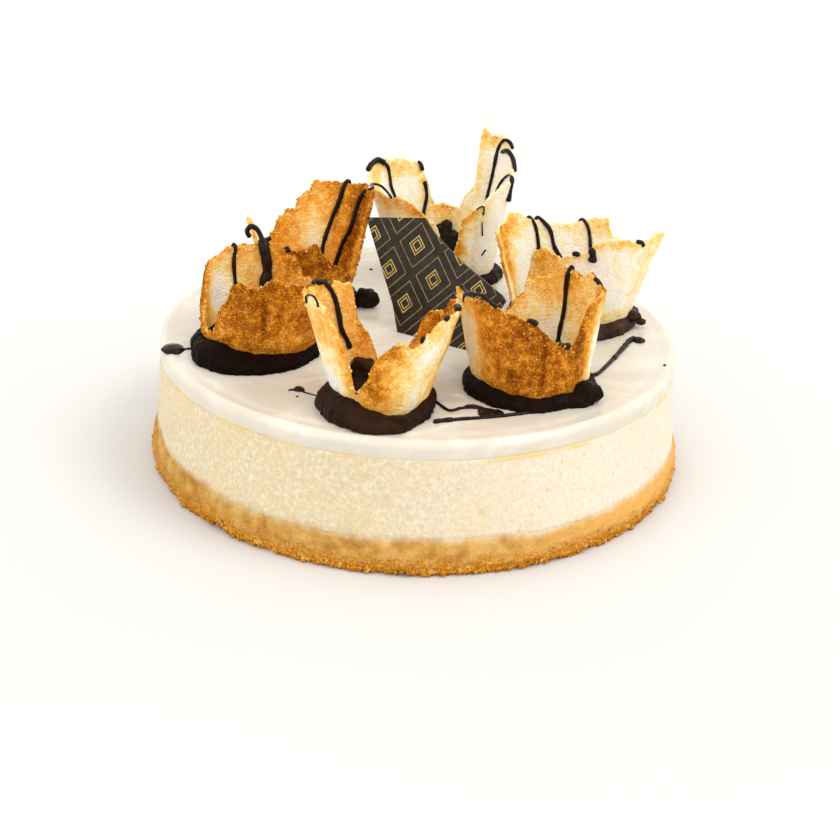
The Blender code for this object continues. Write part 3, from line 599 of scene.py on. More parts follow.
class Finish:
    """A Principled material that is built up from procedural nodes."""

    def __init__(self, name, roughness, specular, sheen=(1.0, 1.0, 1.0)):
        self.material = bpy.data.materials.new(name)
        self.material.use_nodes = True
        self.tree = self.material.node_tree
        self.shader = self.tree.nodes["Principled BSDF"]
        self.shader.inputs["Roughness"].default_value = roughness
        self.shader.inputs["Specular IOR Level"].default_value = specular
        self.shader.inputs["Specular Tint"].default_value = (*sheen, 1.0)
        self.place = self.node("ShaderNodeTexCoord").outputs["Object"]

    def node(self, kind, **settings):
        """A new node with its settings."""
        made = self.tree.nodes.new(kind)
        for key, value in settings.items():
            setattr(made, key, value)
        return made

    def feed(self, socket, value):
        """Link a socket to another one, or give it a value."""
        if isinstance(value, bpy.types.NodeSocket):
            self.tree.links.new(value, socket)
        else:
            socket.default_value = value

    def scaled(self, size, stretch=(1.0, 1.0, 1.0)):
        """Coordinates in which one unit is a grain of that size."""
        mapping = self.node("ShaderNodeMapping")
        self.feed(mapping.inputs["Vector"], self.place)
        mapping.inputs["Scale"].default_value = [1.0 / (size * part) for part in stretch]
        return mapping.outputs["Vector"]

    def clouds(self, size, detail=3.0, stretch=(1.0, 1.0, 1.0), shift=0.0):
        """Soft cloudy noise from 0 to 1."""
        cloud = self.node("ShaderNodeTexNoise", noise_dimensions="4D")
        self.feed(cloud.inputs["Vector"], self.scaled(size, stretch))
        cloud.inputs["W"].default_value = shift
        cloud.inputs["Scale"].default_value = 1.0
        cloud.inputs["Detail"].default_value = detail
        return cloud.outputs["Fac"]

    def cells(self, size, stretch=(1.0, 1.0, 1.0)):
        """Distance to the nearest grain, and that grain's own chance colour."""
        cell = self.node("ShaderNodeTexVoronoi")
        self.feed(cell.inputs["Vector"], self.scaled(size, stretch))
        cell.inputs["Scale"].default_value = 1.0
        return cell.outputs["Distance"], cell.outputs["Color"]

    def ramp(self, factor, *stops):
        """Colours or shades along a factor; each stop is (position, colour or shade)."""
        ramp = self.node("ShaderNodeValToRGB")
        self.feed(ramp.inputs["Fac"], factor)
        elements = ramp.color_ramp.elements
        while len(elements) < len(stops):
            elements.new(0.5)
        for element, (position, shade) in zip(elements, sorted(stops, key=lambda s: s[0])):
            element.position = position
            colour = (shade,) * 3 if isinstance(shade, float) else shade
            element.color = (*colour, 1.0)
        return ramp.outputs["Color"]

    def mix(self, factor, first, second, blend="MIX"):
        """Two colours mixed by a factor."""
        mixer = self.node("ShaderNodeMix", data_type="RGBA", blend_type=blend)
        self.feed(mixer.inputs[0], factor)
        for socket, colour in ((mixer.inputs[6], first), (mixer.inputs[7], second)):
            linked = isinstance(colour, bpy.types.NodeSocket)
            self.feed(socket, colour if linked else (*colour, 1.0))
        return mixer.outputs[2]

    def maths(self, operation, first, second=0.0, third=0.0):
        """One sum on two or three values."""
        sum_node = self.node("ShaderNodeMath", operation=operation)
        for socket, value in zip(sum_node.inputs, (first, second, third)):
            self.feed(socket, value)
        return sum_node.outputs[0]

    def times(self, first, second):
        """Product of two values."""
        return self.maths("MULTIPLY", first, second)

    def axes(self):
        """The three coordinates, each on its own."""
        parts = self.node("ShaderNodeSeparateXYZ")
        self.feed(parts.inputs[0], self.place)
        return parts.outputs["X"], parts.outputs["Y"], parts.outputs["Z"]

    def across(self, low, high, value):
        """Where a value lies between two others, from 0 to 1."""
        reach = self.node("ShaderNodeMapRange")
        self.feed(reach.inputs["Value"], value)
        reach.inputs["From Min"].default_value = low
        reach.inputs["From Max"].default_value = high
        return reach.outputs["Result"]

    def bump(self, height, depth, under=None):
        """Fine relief of a depth in metres, over another one if given."""
        bump = self.node("ShaderNodeBump")
        bump.inputs["Distance"].default_value = depth
        self.feed(bump.inputs["Height"], height)
        if under is not None:
            self.feed(bump.inputs["Normal"], under)
        return bump.outputs["Normal"]

    def glow(self, weight, depth, colour):
        """Light that goes into the surface and comes out again nearby."""
        self.shader.inputs["Subsurface Weight"].default_value = weight
        self.shader.inputs["Subsurface Scale"].default_value = depth
        self.shader.inputs["Subsurface Radius"].default_value = colour

    def done(self, colour, normal=None, roughness=None):
        """Join the last steps to the shader."""
        self.feed(self.shader.inputs["Base Color"], colour)
        if normal is not None:
            self.feed(self.shader.inputs["Normal"], normal)
        if roughness is not None:
            self.feed(self.shader.inputs["Roughness"], roughness)
        return self.material


def tinted(colour, share, other=(1.0, 1.0, 1.0)):
    """A colour moved by a share towards another one."""
    return tuple(a + (b - a) * share for a, b in zip(colour, other))


def shaded(colour, share):
    """A colour times a share."""
    return tuple(share * part for part in colour)


def seam_share(finish):
    """Where the tan seam between the filling and the cream shows, alike in both finishes."""
    return finish.ramp(finish.clouds(22.0 * MM, 2.0, shift=8.0), (0.47, 0.0), (0.60, 0.8))


def filling_tone(finish, filling, right, height):
    """Mottled filling with painted light to the right, tan specks, pale streaks and a seam on top.
    """
    mottle = finish.clouds(1.7 * MM, 4.0, (1.0, 1.0, 1.15))
    tone = finish.ramp(mottle, (0.34, shaded(filling, 0.90)), (0.50, filling),
                       (0.66, tinted(filling, 0.32)))
    yellow = finish.ramp(finish.clouds(17.0 * MM, 3.0), (0.40, 0.0), (0.66, 0.55))
    tone = finish.mix(yellow, tone, tinted(filling, 0.30, (0.84, 0.58, 0.18)))
    # Paler to the right: painted light from that side.
    painted_light_right = finish.times(finish.across(-20.0 * MM, 70.0 * MM, right), 0.6)
    tone = finish.mix(painted_light_right, tone, tinted(filling, 0.5))
    for size, share, amount, seed in SPECKS:
        distance, chance = finish.cells(size * MM, (1.0, 1.0, 1.1))
        uneven = finish.maths("MULTIPLY_ADD", finish.clouds(0.7 * MM, 2.0), 0.5, distance)
        round_speck = finish.ramp(uneven, (0.52, amount), (0.72, 0.0))
        some = finish.ramp(chance, (share, 1.0), (share + 0.02, 0.0))
        crowd = finish.ramp(finish.clouds(13.0 * MM, 2.0, shift=seed), (0.44, 0.25), (0.60, 1.0))
        speck = finish.times(finish.times(round_speck, some), crowd)
        tone = finish.mix(speck, tone, SPECK_COLOUR)
    drag = finish.clouds(1.5 * MM, 3.0, (1.0, 1.0, 0.45), shift=6.0)
    tone = finish.mix(finish.ramp(drag, (0.60, 0.0), (0.70, 0.55)), tone, STREAK_COLOUR)
    away = finish.maths("ABSOLUTE", finish.maths("SUBTRACT", height, FILLING_TOP - 0.8 * MM))
    seam = finish.times(finish.across(1.3 * MM, 0.1 * MM, away), seam_share(finish))
    return finish.mix(seam, tone, SEAM_COLOUR), mottle


def crumb_tone(finish, biscuit, right, height):
    """Tan paste, with painted light to the right, over golden pressed crumb, with dark and light
    crumbs low down.
    """
    sand = finish.clouds(0.9 * MM, 3.0)
    dark, middle, light = PASTE_TONES
    tone = finish.ramp(finish.clouds(6.0 * MM, 4.0), (0.32, dark), (0.46, middle), (0.64, light))
    # Paler and more golden to the right: painted light from that side.
    tone = finish.mix(finish.across(20.0 * MM, 80.0 * MM, right), tone,
                      tinted(biscuit, 0.75, (0.84, 0.50, 0.15)))
    golden = finish.ramp(sand, (0.32, shaded(biscuit, 0.62)), (0.48, biscuit),
                         (0.62, tinted(biscuit, 0.42, (0.85, 0.54, 0.09))))
    drop = finish.maths("MULTIPLY_ADD", finish.clouds(8.0 * MM, 3.0, shift=3.0), -9.0 * MM, height)
    tone = finish.mix(finish.across(5.5 * MM, -1.5 * MM, drop), tone, golden)
    _, chance = finish.cells(1.7 * MM)
    some = finish.times(finish.ramp(chance, (0.09, 0.7), (0.12, 0.0)),
                        finish.across(11.0 * MM, 5.0 * MM, height))
    tone = finish.mix(some, tone, shaded(biscuit, 0.30))
    _, chance = finish.cells(1.5 * MM)
    some = finish.times(finish.ramp(chance, (0.20, 0.65), (0.23, 0.0)),
                        finish.across(7.0 * MM, 2.0 * MM, height))
    tone = finish.mix(some, tone, LIGHT_CRUMB)
    grain = finish.ramp(sand, (0.30, (0.86, 0.84, 0.80)), (0.65, (1.05, 1.05, 1.05)))
    return finish.mix(1.0, tone, grain, "MULTIPLY"), sand


def side_colour(finish, filling, biscuit):
    """Filling over tan paste and golden crumb, with soft wandering edges."""
    right, _, height = finish.axes()
    tone, mottle = filling_tone(finish, filling, right, height)
    crumb, sand = crumb_tone(finish, biscuit, right, height)
    ragged = finish.times(finish.clouds(7.0 * MM, 3.0, (1.0, 1.0, 1.8)), 6.5 * MM)
    wander = finish.maths("MULTIPLY_ADD", finish.clouds(24.0 * MM, 2.0, shift=2.0), 5.0 * MM,
                          ragged)
    left = finish.times(finish.across(-60.0 * MM, -105.0 * MM, right), 3.0 * MM)
    level = finish.maths("SUBTRACT", height, finish.maths("ADD", wander, left))
    paste = finish.ramp(finish.across(PASTE_TOP, PASTE_FULL, level), (0.0, 0.0), (0.35, 0.28),
                        (0.75, 0.85), (1.0, 1.0))
    return finish.mix(paste, tone, crumb), mottle, sand


def biscuit_finish(filling, biscuit):
    """Pressed biscuit crumb under a tan band."""
    finish = Finish("biscuit crumb", 0.8, 0.04)
    colour, _, sand = side_colour(finish, filling, biscuit)
    return finish.done(colour, finish.bump(sand, 0.35 * MM))


def filling_finish(filling, biscuit):
    """Baked filling: pale and faintly mottled, with tan specks and a tan foot."""
    finish = Finish("baked filling", 0.6, 0.2)
    colour, mottle, _ = side_colour(finish, filling, biscuit)
    drag = finish.clouds(1.0 * MM, 3.0, (1.0, 1.0, 0.5))
    relief = finish.bump(mottle, 0.45 * MM)
    relief = finish.bump(drag, 0.12 * MM, relief)
    finish.glow(0.25, 3.0 * MM, (1.0, 0.6, 0.3))
    return finish.done(colour, relief)


def cream_finish(colour, filling):
    """Set cream: glossy, with very faint swirls of painted shade and light, a soft lower edge and
    smears of tan there.
    """
    finish = Finish("set cream", 0.16, 0.5)
    swirl = finish.node("ShaderNodeTexNoise", noise_dimensions="3D")
    finish.feed(swirl.inputs["Vector"], finish.scaled(34.0 * MM))
    swirl.inputs["Scale"].default_value = 1.0
    swirl.inputs["Distortion"].default_value = 1.8
    # The swirls are darker in their hollows and paler on their ridges: painted shade and painted
    # light on the swirl relief.
    shade = finish.ramp(swirl.outputs["Fac"], (0.36, shaded(colour, 0.965)), (0.5, colour),
                        (0.62, tinted(colour, 0.15)))
    _, _, height = finish.axes()
    ragged = finish.maths("MULTIPLY_ADD", finish.clouds(5.0 * MM, 4.0), -3.2 * MM, height)
    low = finish.across(FILLING_TOP + 0.4 * MM, FILLING_TOP - 1.6 * MM, ragged)
    shade = finish.mix(low, shade, tinted(filling, 0.15))
    smear = finish.times(finish.across(FILLING_TOP + 1.6 * MM, FILLING_TOP, height),
                         seam_share(finish))
    shade = finish.mix(smear, shade, SMEAR_COLOUR)
    relief = finish.bump(swirl.outputs["Fac"], 0.9 * MM)
    relief = finish.bump(finish.clouds(1.2 * MM, 2.0), 0.02 * MM, relief)
    finish.glow(0.4, 5.0 * MM, (1.0, 0.75, 0.5))
    gloss = finish.ramp(finish.clouds(20.0 * MM, 3.0), (0.35, 0.12), (0.65, 0.24))
    return finish.done(shade, relief, gloss)


def wafer_finish(pale, gold, brown):
    """Toasted wafer: cream to dark brown by toast and painted shading, with grains of sugar."""
    finish = Finish("toasted wafer", 0.5, 0.06)
    toast_and_shading = finish.node("ShaderNodeAttribute", attribute_name="toast_and_shading").outputs["Fac"]
    bead, _ = finish.cells(1.1 * MM)
    grain = finish.clouds(0.55 * MM, 2.0)
    blotch = finish.clouds(3.4 * MM, 4.0, shift=4.0)
    stir = 0.0
    for cloud, middle, weight in ((grain, 0.5, 0.95), (bead, 0.42, 0.30), (blotch, 0.5, 0.95)):
        change = finish.maths("SUBTRACT", cloud, middle)
        stir = finish.maths("MULTIPLY_ADD", change, weight, stir)
    stir = finish.maths("MINIMUM", finish.maths("MAXIMUM", stir, -0.18), 0.16)
    strength = finish.ramp(toast_and_shading, (0.04, 0.25), (0.30, 0.6), (0.6, 1.0))
    level = finish.maths("ADD", toast_and_shading, finish.times(stir, strength))
    colour = finish.ramp(level, (0.03, BARE_WAFER), (0.10, CREAMY_WAFER), (0.18, pale),
                         (0.29, tinted(gold, 0.40, pale)), (0.42, gold),
                         (0.56, tinted(brown, 0.46, gold)), (0.76, brown),
                         (0.98, shaded(brown, 0.35)))
    distance, chance = finish.cells(1.0 * MM)
    sugar = finish.times(finish.ramp(chance, (0.16, 0.55), (0.18, 0.0)),
                         finish.ramp(distance, (0.30, 1.0), (0.50, 0.0)))
    sugar = finish.times(sugar, finish.ramp(toast_and_shading, (0.25, 0.0), (0.45, 1.0)))
    colour = finish.mix(sugar, colour, tinted(pale, 0.35, gold))
    relief = finish.bump(bead, -0.30 * MM)
    relief = finish.bump(grain, 0.40 * MM, relief)
    gloss = finish.ramp(level, (0.1, 0.62), (0.6, 0.42), (0.9, 0.34))
    finish.glow(0.4, 1.4 * MM, (1.0, 0.6, 0.25))
    return finish.done(colour, relief, gloss)


def chocolate_finish(colour, bloom):
    """Set dark chocolate: near black, or browner and brighter by its bloom."""
    finish = Finish("dark chocolate", 0.5, 0.045 + 0.08 * bloom, (1.0, 0.80, 0.70))
    strokes = finish.clouds(3.0 * MM, 3.0, (1.0, 1.0, 0.6))
    patches = finish.clouds(11.0 * MM, 2.0, shift=2.0)
    brown = tinted(colour, 0.075 * bloom, (0.80, 0.36, 0.20))
    shade = finish.ramp(patches, (0.38, tinted(colour, 0.35, brown)), (0.62, brown))
    shade = finish.mix(finish.ramp(strokes, (0.45, 0.0), (0.75, 0.6)), shade, shaded(colour, 0.6))
    gloss = finish.ramp(strokes, (0.35, 0.40), (0.65, 0.62))
    relief = finish.bump(strokes, 0.55 * MM)
    relief = finish.bump(finish.clouds(0.9 * MM, 2.0), 0.12 * MM, relief)
    return finish.done(shade, relief, gloss)


def drizzle_finish(colour):
    """Run chocolate: dark, with a soft gloss."""
    finish = Finish("run chocolate", 0.24, 0.2, (1.0, 0.84, 0.76))
    shade = finish.ramp(finish.clouds(4.0 * MM, 2.0), (0.40, colour), (0.70, shaded(colour, 2.4)))
    gloss = finish.ramp(finish.clouds(2.2 * MM, 2.0), (0.35, 0.18), (0.65, 0.40))
    relief = finish.bump(finish.clouds(1.4 * MM, 2.0), 0.22 * MM)
    return finish.done(shade, relief, gloss)


def plaque_finish(colour, gold, pitch):
    """Thin chocolate with thin gold diamonds on its front, a small double one in each."""
    finish = Finish("printed plaque", 0.34, 0.16)
    along, up, out = finish.axes()
    x = finish.maths("DIVIDE", along, pitch)
    y = finish.maths("DIVIDE", up, 1.15 * pitch)
    steps = [finish.maths("SUBTRACT", finish.maths("FRACT", slope), 0.5)
             for slope in (finish.maths("ADD", x, y), finish.maths("SUBTRACT", x, y))]
    corner = finish.maths("MAXIMUM", *[finish.maths("ABSOLUTE", step) for step in steps])
    rings = [finish.times(finish.across(low - DIAMOND_LINE_SOFTNESS, low, corner),
                          finish.across(high + DIAMOND_LINE_SOFTNESS, high, corner))
             for low, high in DIAMOND_LINES]
    outline = finish.times(rings[0], 0.55)
    printed = finish.maths("MAXIMUM", outline, finish.maths("MAXIMUM", rings[1], rings[2]))
    front = finish.across(0.55 * MM, 0.85 * MM, out)
    wear = finish.ramp(finish.clouds(2.0 * MM, 3.0), (0.34, 0.45), (0.50, 1.0))
    printed = finish.times(finish.times(printed, front), wear)
    grain = finish.clouds(3.0 * MM, 4.0)
    base = finish.ramp(grain, (0.35, shaded(colour, 0.75)), (0.7, tinted(colour, 0.012)))
    low = finish.across(24.0 * MM, 6.0 * MM, up)
    creased = finish.times(finish.clouds(1.3 * MM, 3.0), low)
    relief = finish.bump(finish.clouds(0.8 * MM, 3.0), 0.04 * MM)
    relief = finish.bump(creased, 0.5 * MM, relief)
    return finish.done(finish.mix(printed, base, gold), relief)


def floor_finish():
    """Plain pale floor."""
    finish = Finish("pale floor", 0.7, 0.2)
    shade = finish.ramp(finish.clouds(0.4, 2.0), (0.3, (0.70, 0.696, 0.690)),
                        (0.7, (0.73, 0.726, 0.720)))
    return finish.done(shade)


def biscuit_crag(turn, height):
    """How far the crumbly side falls back; nothing on the four axes, as in the solids."""
    place = Vector((6.0 * math.cos(turn), 6.0 * math.sin(turn), height / (6.0 * MM)))
    coarse = 0.5 + 0.5 * noise.noise(place)
    fine = 0.5 + 0.5 * noise.noise(3.1 * place)
    axes = abs(math.sin(2.0 * turn)) ** 0.4
    return BASE_CRAG * axes * (0.75 * coarse + 0.5 * fine)


def base_radius(turns, heights):
    """Radius of the base's side at an array of turns and heights, without its grains."""
    levels, insets, shares = (np.array(column) for column in zip(*BASE_PROFILE))
    inset = MM * np.interp(heights / MM, levels, insets)
    share = np.interp(heights / MM, levels, shares)
    crag = np.array([biscuit_crag(turn, height) for turn, height in zip(turns, heights)])
    return BASE_RADIUS - inset - share * crag


def hem_height(turns, depth):
    """Height of the base's broken lower edge over the floor."""
    circle = circle_points(turns, BASE_RADIUS, 0.0)
    crumbs = 0.5 * soft_noise(circle, 2.6 * MM, 9.0) + 0.5 * soft_noise(circle, 7.0 * MM, 2.0)
    return MM * around_table(np.degrees(turns), HEM) + depth * np.maximum(crumbs, 0.0)


def filling_radius(turns, height):
    """Radius of the filling's side without its fine marks, as in the solids."""
    low = BASE_HEIGHT + GAP
    part = (height - low) / (FILLING_TOP - low)
    wave = np.array([noise.noise((2.0 * math.cos(turn), 2.0 * math.sin(turn),
                                  height / (40.0 * MM))) for turn in turns])
    plain = FILLING_LOW_RADIUS + (FILLING_HIGH_RADIUS - FILLING_LOW_RADIUS) * part
    return plain + 0.5 * MM * wave


def clear_pieces(names):
    """Remove earlier pieces, so that an operator can run again."""
    for name in names:
        if name in bpy.data.objects:
            bpy.data.objects.remove(bpy.data.objects[name], do_unlink=True)


class CHEESECAKE_OT_biscuit_base(bpy.types.Operator):
    """Build the pressed biscuit base and the crumbs that cling to its lower edge"""

    bl_idname = "cheesecake.biscuit_base"
    bl_label = "Biscuit base"

    AROUND = 1080
    SIDE_ROWS = 36
    UNDER_ROWS = 7

    def execute(self, context):
        """Make the base and its crumbs."""
        settings = context.scene.cheesecake_cake
        clear_pieces(("base_crumb", "base_loose_crumbs"))
        finish = biscuit_finish(settings.filling_colour, settings.biscuit_colour)
        turns = even_turns(self.AROUND)
        hem = hem_height(turns, settings.hem_depth)
        edge = base_radius(turns, hem)
        rings = []
        for part in np.linspace(0.0, 1.0, self.UNDER_ROWS, endpoint=False):
            radii = edge - BASE_UNDER_WIDTH * (1.0 - part)
            rings.append(circle_points(turns, radii, hem * min(1.0, 1.5 * part)))
        top = BASE_HEIGHT + 0.2 * MM
        meeting = filling_radius(turns, top)
        for part in np.linspace(0.0, 1.0, self.SIDE_ROWS):
            heights = hem + (top - hem) * part
            share = (heights - BASE_MEETS_FROM) / (top - BASE_MEETS_FROM)
            share = np.clip(share, 0.0, 1.0) ** 2
            radii = base_radius(turns, heights)
            rings.append(circle_points(turns, radii + (meeting - radii) * share, heights))
        rings.append(circle_points(turns, meeting - 0.35 * MM, top + 1.0 * MM))
        rings = np.array(rings)
        self.add_grains(rings, settings.crumb_relief)
        base = make_piece("base_crumb", *turned_shape(rings), finish)
        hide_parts("biscuit_base")
        crumbs = self.crumbs(settings, finish)
        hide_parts("biscuit_base")
        return {"FINISHED"}

    def add_grains(self, rings, depth):
        """Press grains into the side, deep at the foot and faint under the filling."""
        heights = rings[..., 2]
        low = np.clip((6.5 * MM - heights) / (5.0 * MM), 0.0, 1.0)
        right = np.clip(rings[..., 0] / (90.0 * MM), 0.0, 1.0)
        patches = np.clip(0.5 + 1.1 * soft_noise(rings, 12.0 * MM, 5.0), 0.0, 1.2)
        fade = np.clip((15.0 * MM - heights) / (3.0 * MM), 0.0, 1.0)
        amount = 0.10 + fade * (low * (0.35 + 0.65 * patches) + 0.35 * right * patches)
        grains = grain_noise(rings, 2.0 * MM)
        fine = grain_noise(rings, 0.95 * MM, 3.0)
        inset = depth * amount * (1.0 - 0.65 * grains - 0.35 * fine)
        inset[:self.UNDER_ROWS // 2] = 0.0
        sink(rings, inset)

    def crumbs(self, settings, finish):
        """Uneven crumbs half buried in the broken lower edge."""
        chance = np.random.default_rng(11)
        count = settings.crumb_count
        turns = chance.uniform(0.0, 2.0 * math.pi, count)
        hems = hem_height(turns, settings.hem_depth)
        sizes = MM * np.clip(chance.lognormal(-0.15, 0.48, count), 0.4, 2.4)
        rise = chance.exponential(1.3 * MM, count)
        high = chance.random(count) < 0.05 + 0.22 * np.clip(np.cos(turns + 0.4), 0.0, 1.0)
        rise[high] = chance.uniform(2.0 * MM, 10.0 * MM, high.sum())
        sizes[high] *= 0.65
        heights = np.maximum(hems + rise - 0.6 * MM, 0.9 * sizes)
        heights = np.minimum(heights, BASE_HEIGHT - sizes)
        sunk = chance.uniform(0.25, 0.9, count) * sizes
        radii = np.minimum(base_radius(turns, heights) - sunk, BASE_RADIUS - 0.8 * sizes)
        places = np.stack((radii * np.cos(turns), radii * np.sin(turns), heights), axis=-1)
        points, faces = scatter(places, sizes, 3, rough=0.55)
        points[:, 2] = np.maximum(points[:, 2], 0.0)
        return make_piece("base_loose_crumbs", points, faces, finish)


class CHEESECAKE_OT_cheese_filling(bpy.types.Operator):
    """Build the baked filling with its upright knife marks and pits"""

    bl_idname = "cheesecake.cheese_filling"
    bl_label = "Baked filling"

    AROUND = 820
    ROWS = 46

    def execute(self, context):
        """Make the filling."""
        settings = context.scene.cheesecake_cake
        clear_pieces(("filling_drum",))
        turns = even_turns(self.AROUND)
        rings = []
        for height in np.linspace(BASE_HEIGHT - 0.5 * MM, FILLING_TOP + 0.1 * MM, self.ROWS):
            rings.append(circle_points(turns, filling_radius(turns, height), height))
        rings = np.array(rings)
        self.cut(rings)
        finish = filling_finish(settings.filling_colour, settings.biscuit_colour)
        filling = make_piece("filling_drum", *turned_shape(rings), finish)
        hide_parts("cheese_filling")
        return {"FINISHED"}

    def cut(self, rings):
        """Fine upright drag of the knife, small pits, and a few smeared flakes."""
        drag = soft_noise(rings * np.array((1.0, 1.0, 0.35)), 1.5 * MM)
        lumps = soft_noise(rings, 7.0 * MM, 4.0)
        holes = grain_noise(rings * np.array((1.0, 1.0, 0.6)), 4.2 * MM, 2.0)
        holes = np.maximum(holes - 0.86, 0.0)
        sparse = np.clip(2.5 * soft_noise(rings, 15.0 * MM, 6.0) + 0.5, 0.0, 1.0)
        flakes = soft_noise(rings * np.array((1.0, 1.0, 2.4)), 4.5 * MM, 8.0)
        flakes = np.maximum(flakes - 0.38, 0.0)
        inset = 0.05 * MM * drag + 0.14 * MM * lumps + 3.0 * MM * holes * sparse
        inset -= 0.6 * MM * flakes
        heights = rings[..., 2]
        inset *= np.clip((heights - BASE_HEIGHT - 0.6 * MM) / (1.5 * MM), 0.0, 1.0)
        inset *= np.clip((FILLING_TOP - 0.4 * MM - heights) / (1.5 * MM), 0.0, 1.0)
        sink(rings, inset)


class CHEESECAKE_OT_cream_topping(bpy.types.Operator):
    """Build the cream topping with its rounded shoulder and faint ripples"""

    bl_idname = "cheesecake.cream_topping"
    bl_label = "Cream topping"

    AROUND = 540
    TOP_ROWS = 52
    GROOVE_DEPTH = 0.50 * MM
    GROOVE_IN = 2.4 * MM
    GROOVE_WIDE = 0.8 * MM

    def execute(self, context):
        """Make the cream."""
        settings = context.scene.cheesecake_cake
        clear_pieces(("cream_layer",))
        edge = settings.cream_edge
        turns = even_turns(self.AROUND)
        circle = circle_points(turns, CREAM_RADIUS, 0.0)
        hem = FILLING_TOP - 0.2 * MM + 0.5 * MM * soft_noise(circle, 9.0 * MM, 3.0)
        hem += 0.25 * MM * soft_noise(circle, 2.5 * MM, 1.0)
        meeting = filling_radius(turns, FILLING_TOP)
        rings = [circle_points(turns, meeting - 0.8 * MM, hem - 1.2 * MM),
                 circle_points(turns, meeting - 0.16 * MM, hem - 1.0 * MM),
                 circle_points(turns, meeting + 0.02 * MM, hem)]
        side_top = CREAM_TOP - edge
        for part in np.linspace(0.0, 1.0, 9)[1:]:
            bulge = (CREAM_RADIUS - meeting) * (1.0 - part) ** 2
            height = hem + (side_top - hem) * part
            rings.append(circle_points(turns, CREAM_RADIUS - bulge, height))
        for turn in np.linspace(0.0, 0.5 * math.pi, 14)[1:]:
            radius = CREAM_RADIUS - edge * (1.0 - math.cos(turn))
            rings.append(circle_points(turns, radius, side_top + edge * math.sin(turn)))
        inner = CREAM_RADIUS - edge
        for part in np.linspace(0.0, 1.0, self.TOP_ROWS)[1:-1]:
            radius = inner * (1.0 - part) ** 1.15
            groove = math.exp(-((inner - radius - self.GROOVE_IN) / self.GROOVE_WIDE) ** 2)
            height = CREAM_TOP - self.GROOVE_DEPTH * groove
            rings.append(circle_points(turns, radius, height))
        rings = np.array(rings)
        ripple = 0.16 * MM * soft_noise(rings, 24.0 * MM) + 0.05 * MM * soft_noise(rings, 7.0 * MM)
        radii = np.hypot(rings[..., 0], rings[..., 1])
        flat = np.clip((inner + 2.0 * MM - radii) / (4.0 * MM), 0.0, 1.0)
        rings[..., 2] += np.minimum(ripple, 0.1 * MM) * flat
        side = 0.3 * MM * soft_noise(rings, 13.0 * MM, 5.0) - 0.1 * MM
        rings[..., :2] *= (1.0 + np.minimum(side, 0.0) * (1.0 - flat) / radii)[..., None]
        finish = cream_finish(settings.cream_colour, settings.filling_colour)
        cream = make_piece("cream_layer", *turned_shape(rings), finish)
        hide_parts("cream_topping")
        return {"FINISHED"}


def wall_points(basket, degrees, heights, insets):
    """Points of a basket's outer face, or behind it, at heights over the cream."""
    part = heights / MOUTH_LEVEL
    foot = np.array(basket["foot"]) * MM
    mouth = np.array(basket["mouth"]) * MM
    x, y, half_width, half_depth = (low + (high - low) * part for low, high in zip(foot, mouth))
    turn = np.radians(degrees)
    wave = WALL_WAVE * np.maximum(part, 0.0) * np.sin(3.0 * turn + basket["foot"][0])
    return np.stack((x + (half_width + wave - insets) * np.cos(turn),
                     y + (half_depth + wave - insets) * np.sin(turn),
                     CREAM_TOP + heights), axis=-1)


def rim_heights(basket, degrees, bite):
    """Height of the broken rim over the cream, with its crumble, jags and bites."""
    turns = np.radians(degrees)
    seed = basket["foot"][0]
    circle = np.stack((np.cos(turns), np.sin(turns), np.full(turns.shape, seed)), axis=-1)
    spots = circle * np.array((26.0, 26.0, 1.0))
    crumble = soft_noise(spots, 1.1, 12.0)
    rim = MM * around_table(degrees + 1.1 * crumble, basket["rim"])
    rim = rim + RIM_JAG * soft_noise(circle * np.array((9.0, 9.0, 1.0)), 1.0)
    bites = np.maximum(soft_noise(spots, 5.0, 3.0) - 0.18, 0.0)
    rim = rim - bite * bites + 0.36 * bite * soft_noise(spots, 1.5, 6.0)
    return np.maximum(rim, WALL_FOOT + 3.0 * MM)


def toast_and_shading_levels(basket, face, degrees, heights, rims, points, rim_toast):
    """How brown the wafer is, 0 pale to 1 dark: its toast, with a few patches of painted shade and
    light.
    """
    toast_and_shading = np.full(heights.shape, basket["toast_and_shading"][face])
    for side, angle, height, wide, tall, change in basket["patches"]:
        if side == face:
            away = degrees_apart(degrees, angle)
            reach = (away / wide) ** 2 + ((heights / MM - height) / tall) ** 2
            toast_and_shading += change * np.exp(-reach)
    toast_and_shading += rim_toast * np.exp(-np.maximum(rims - heights, 0.0) / (2.6 * MM))
    toast_and_shading += 0.07 * soft_noise(points, 8.0 * MM, 1.0) + 0.06 * soft_noise(points, 2.6 * MM, 2.0)
    return np.clip(toast_and_shading, 0.0, 1.0)


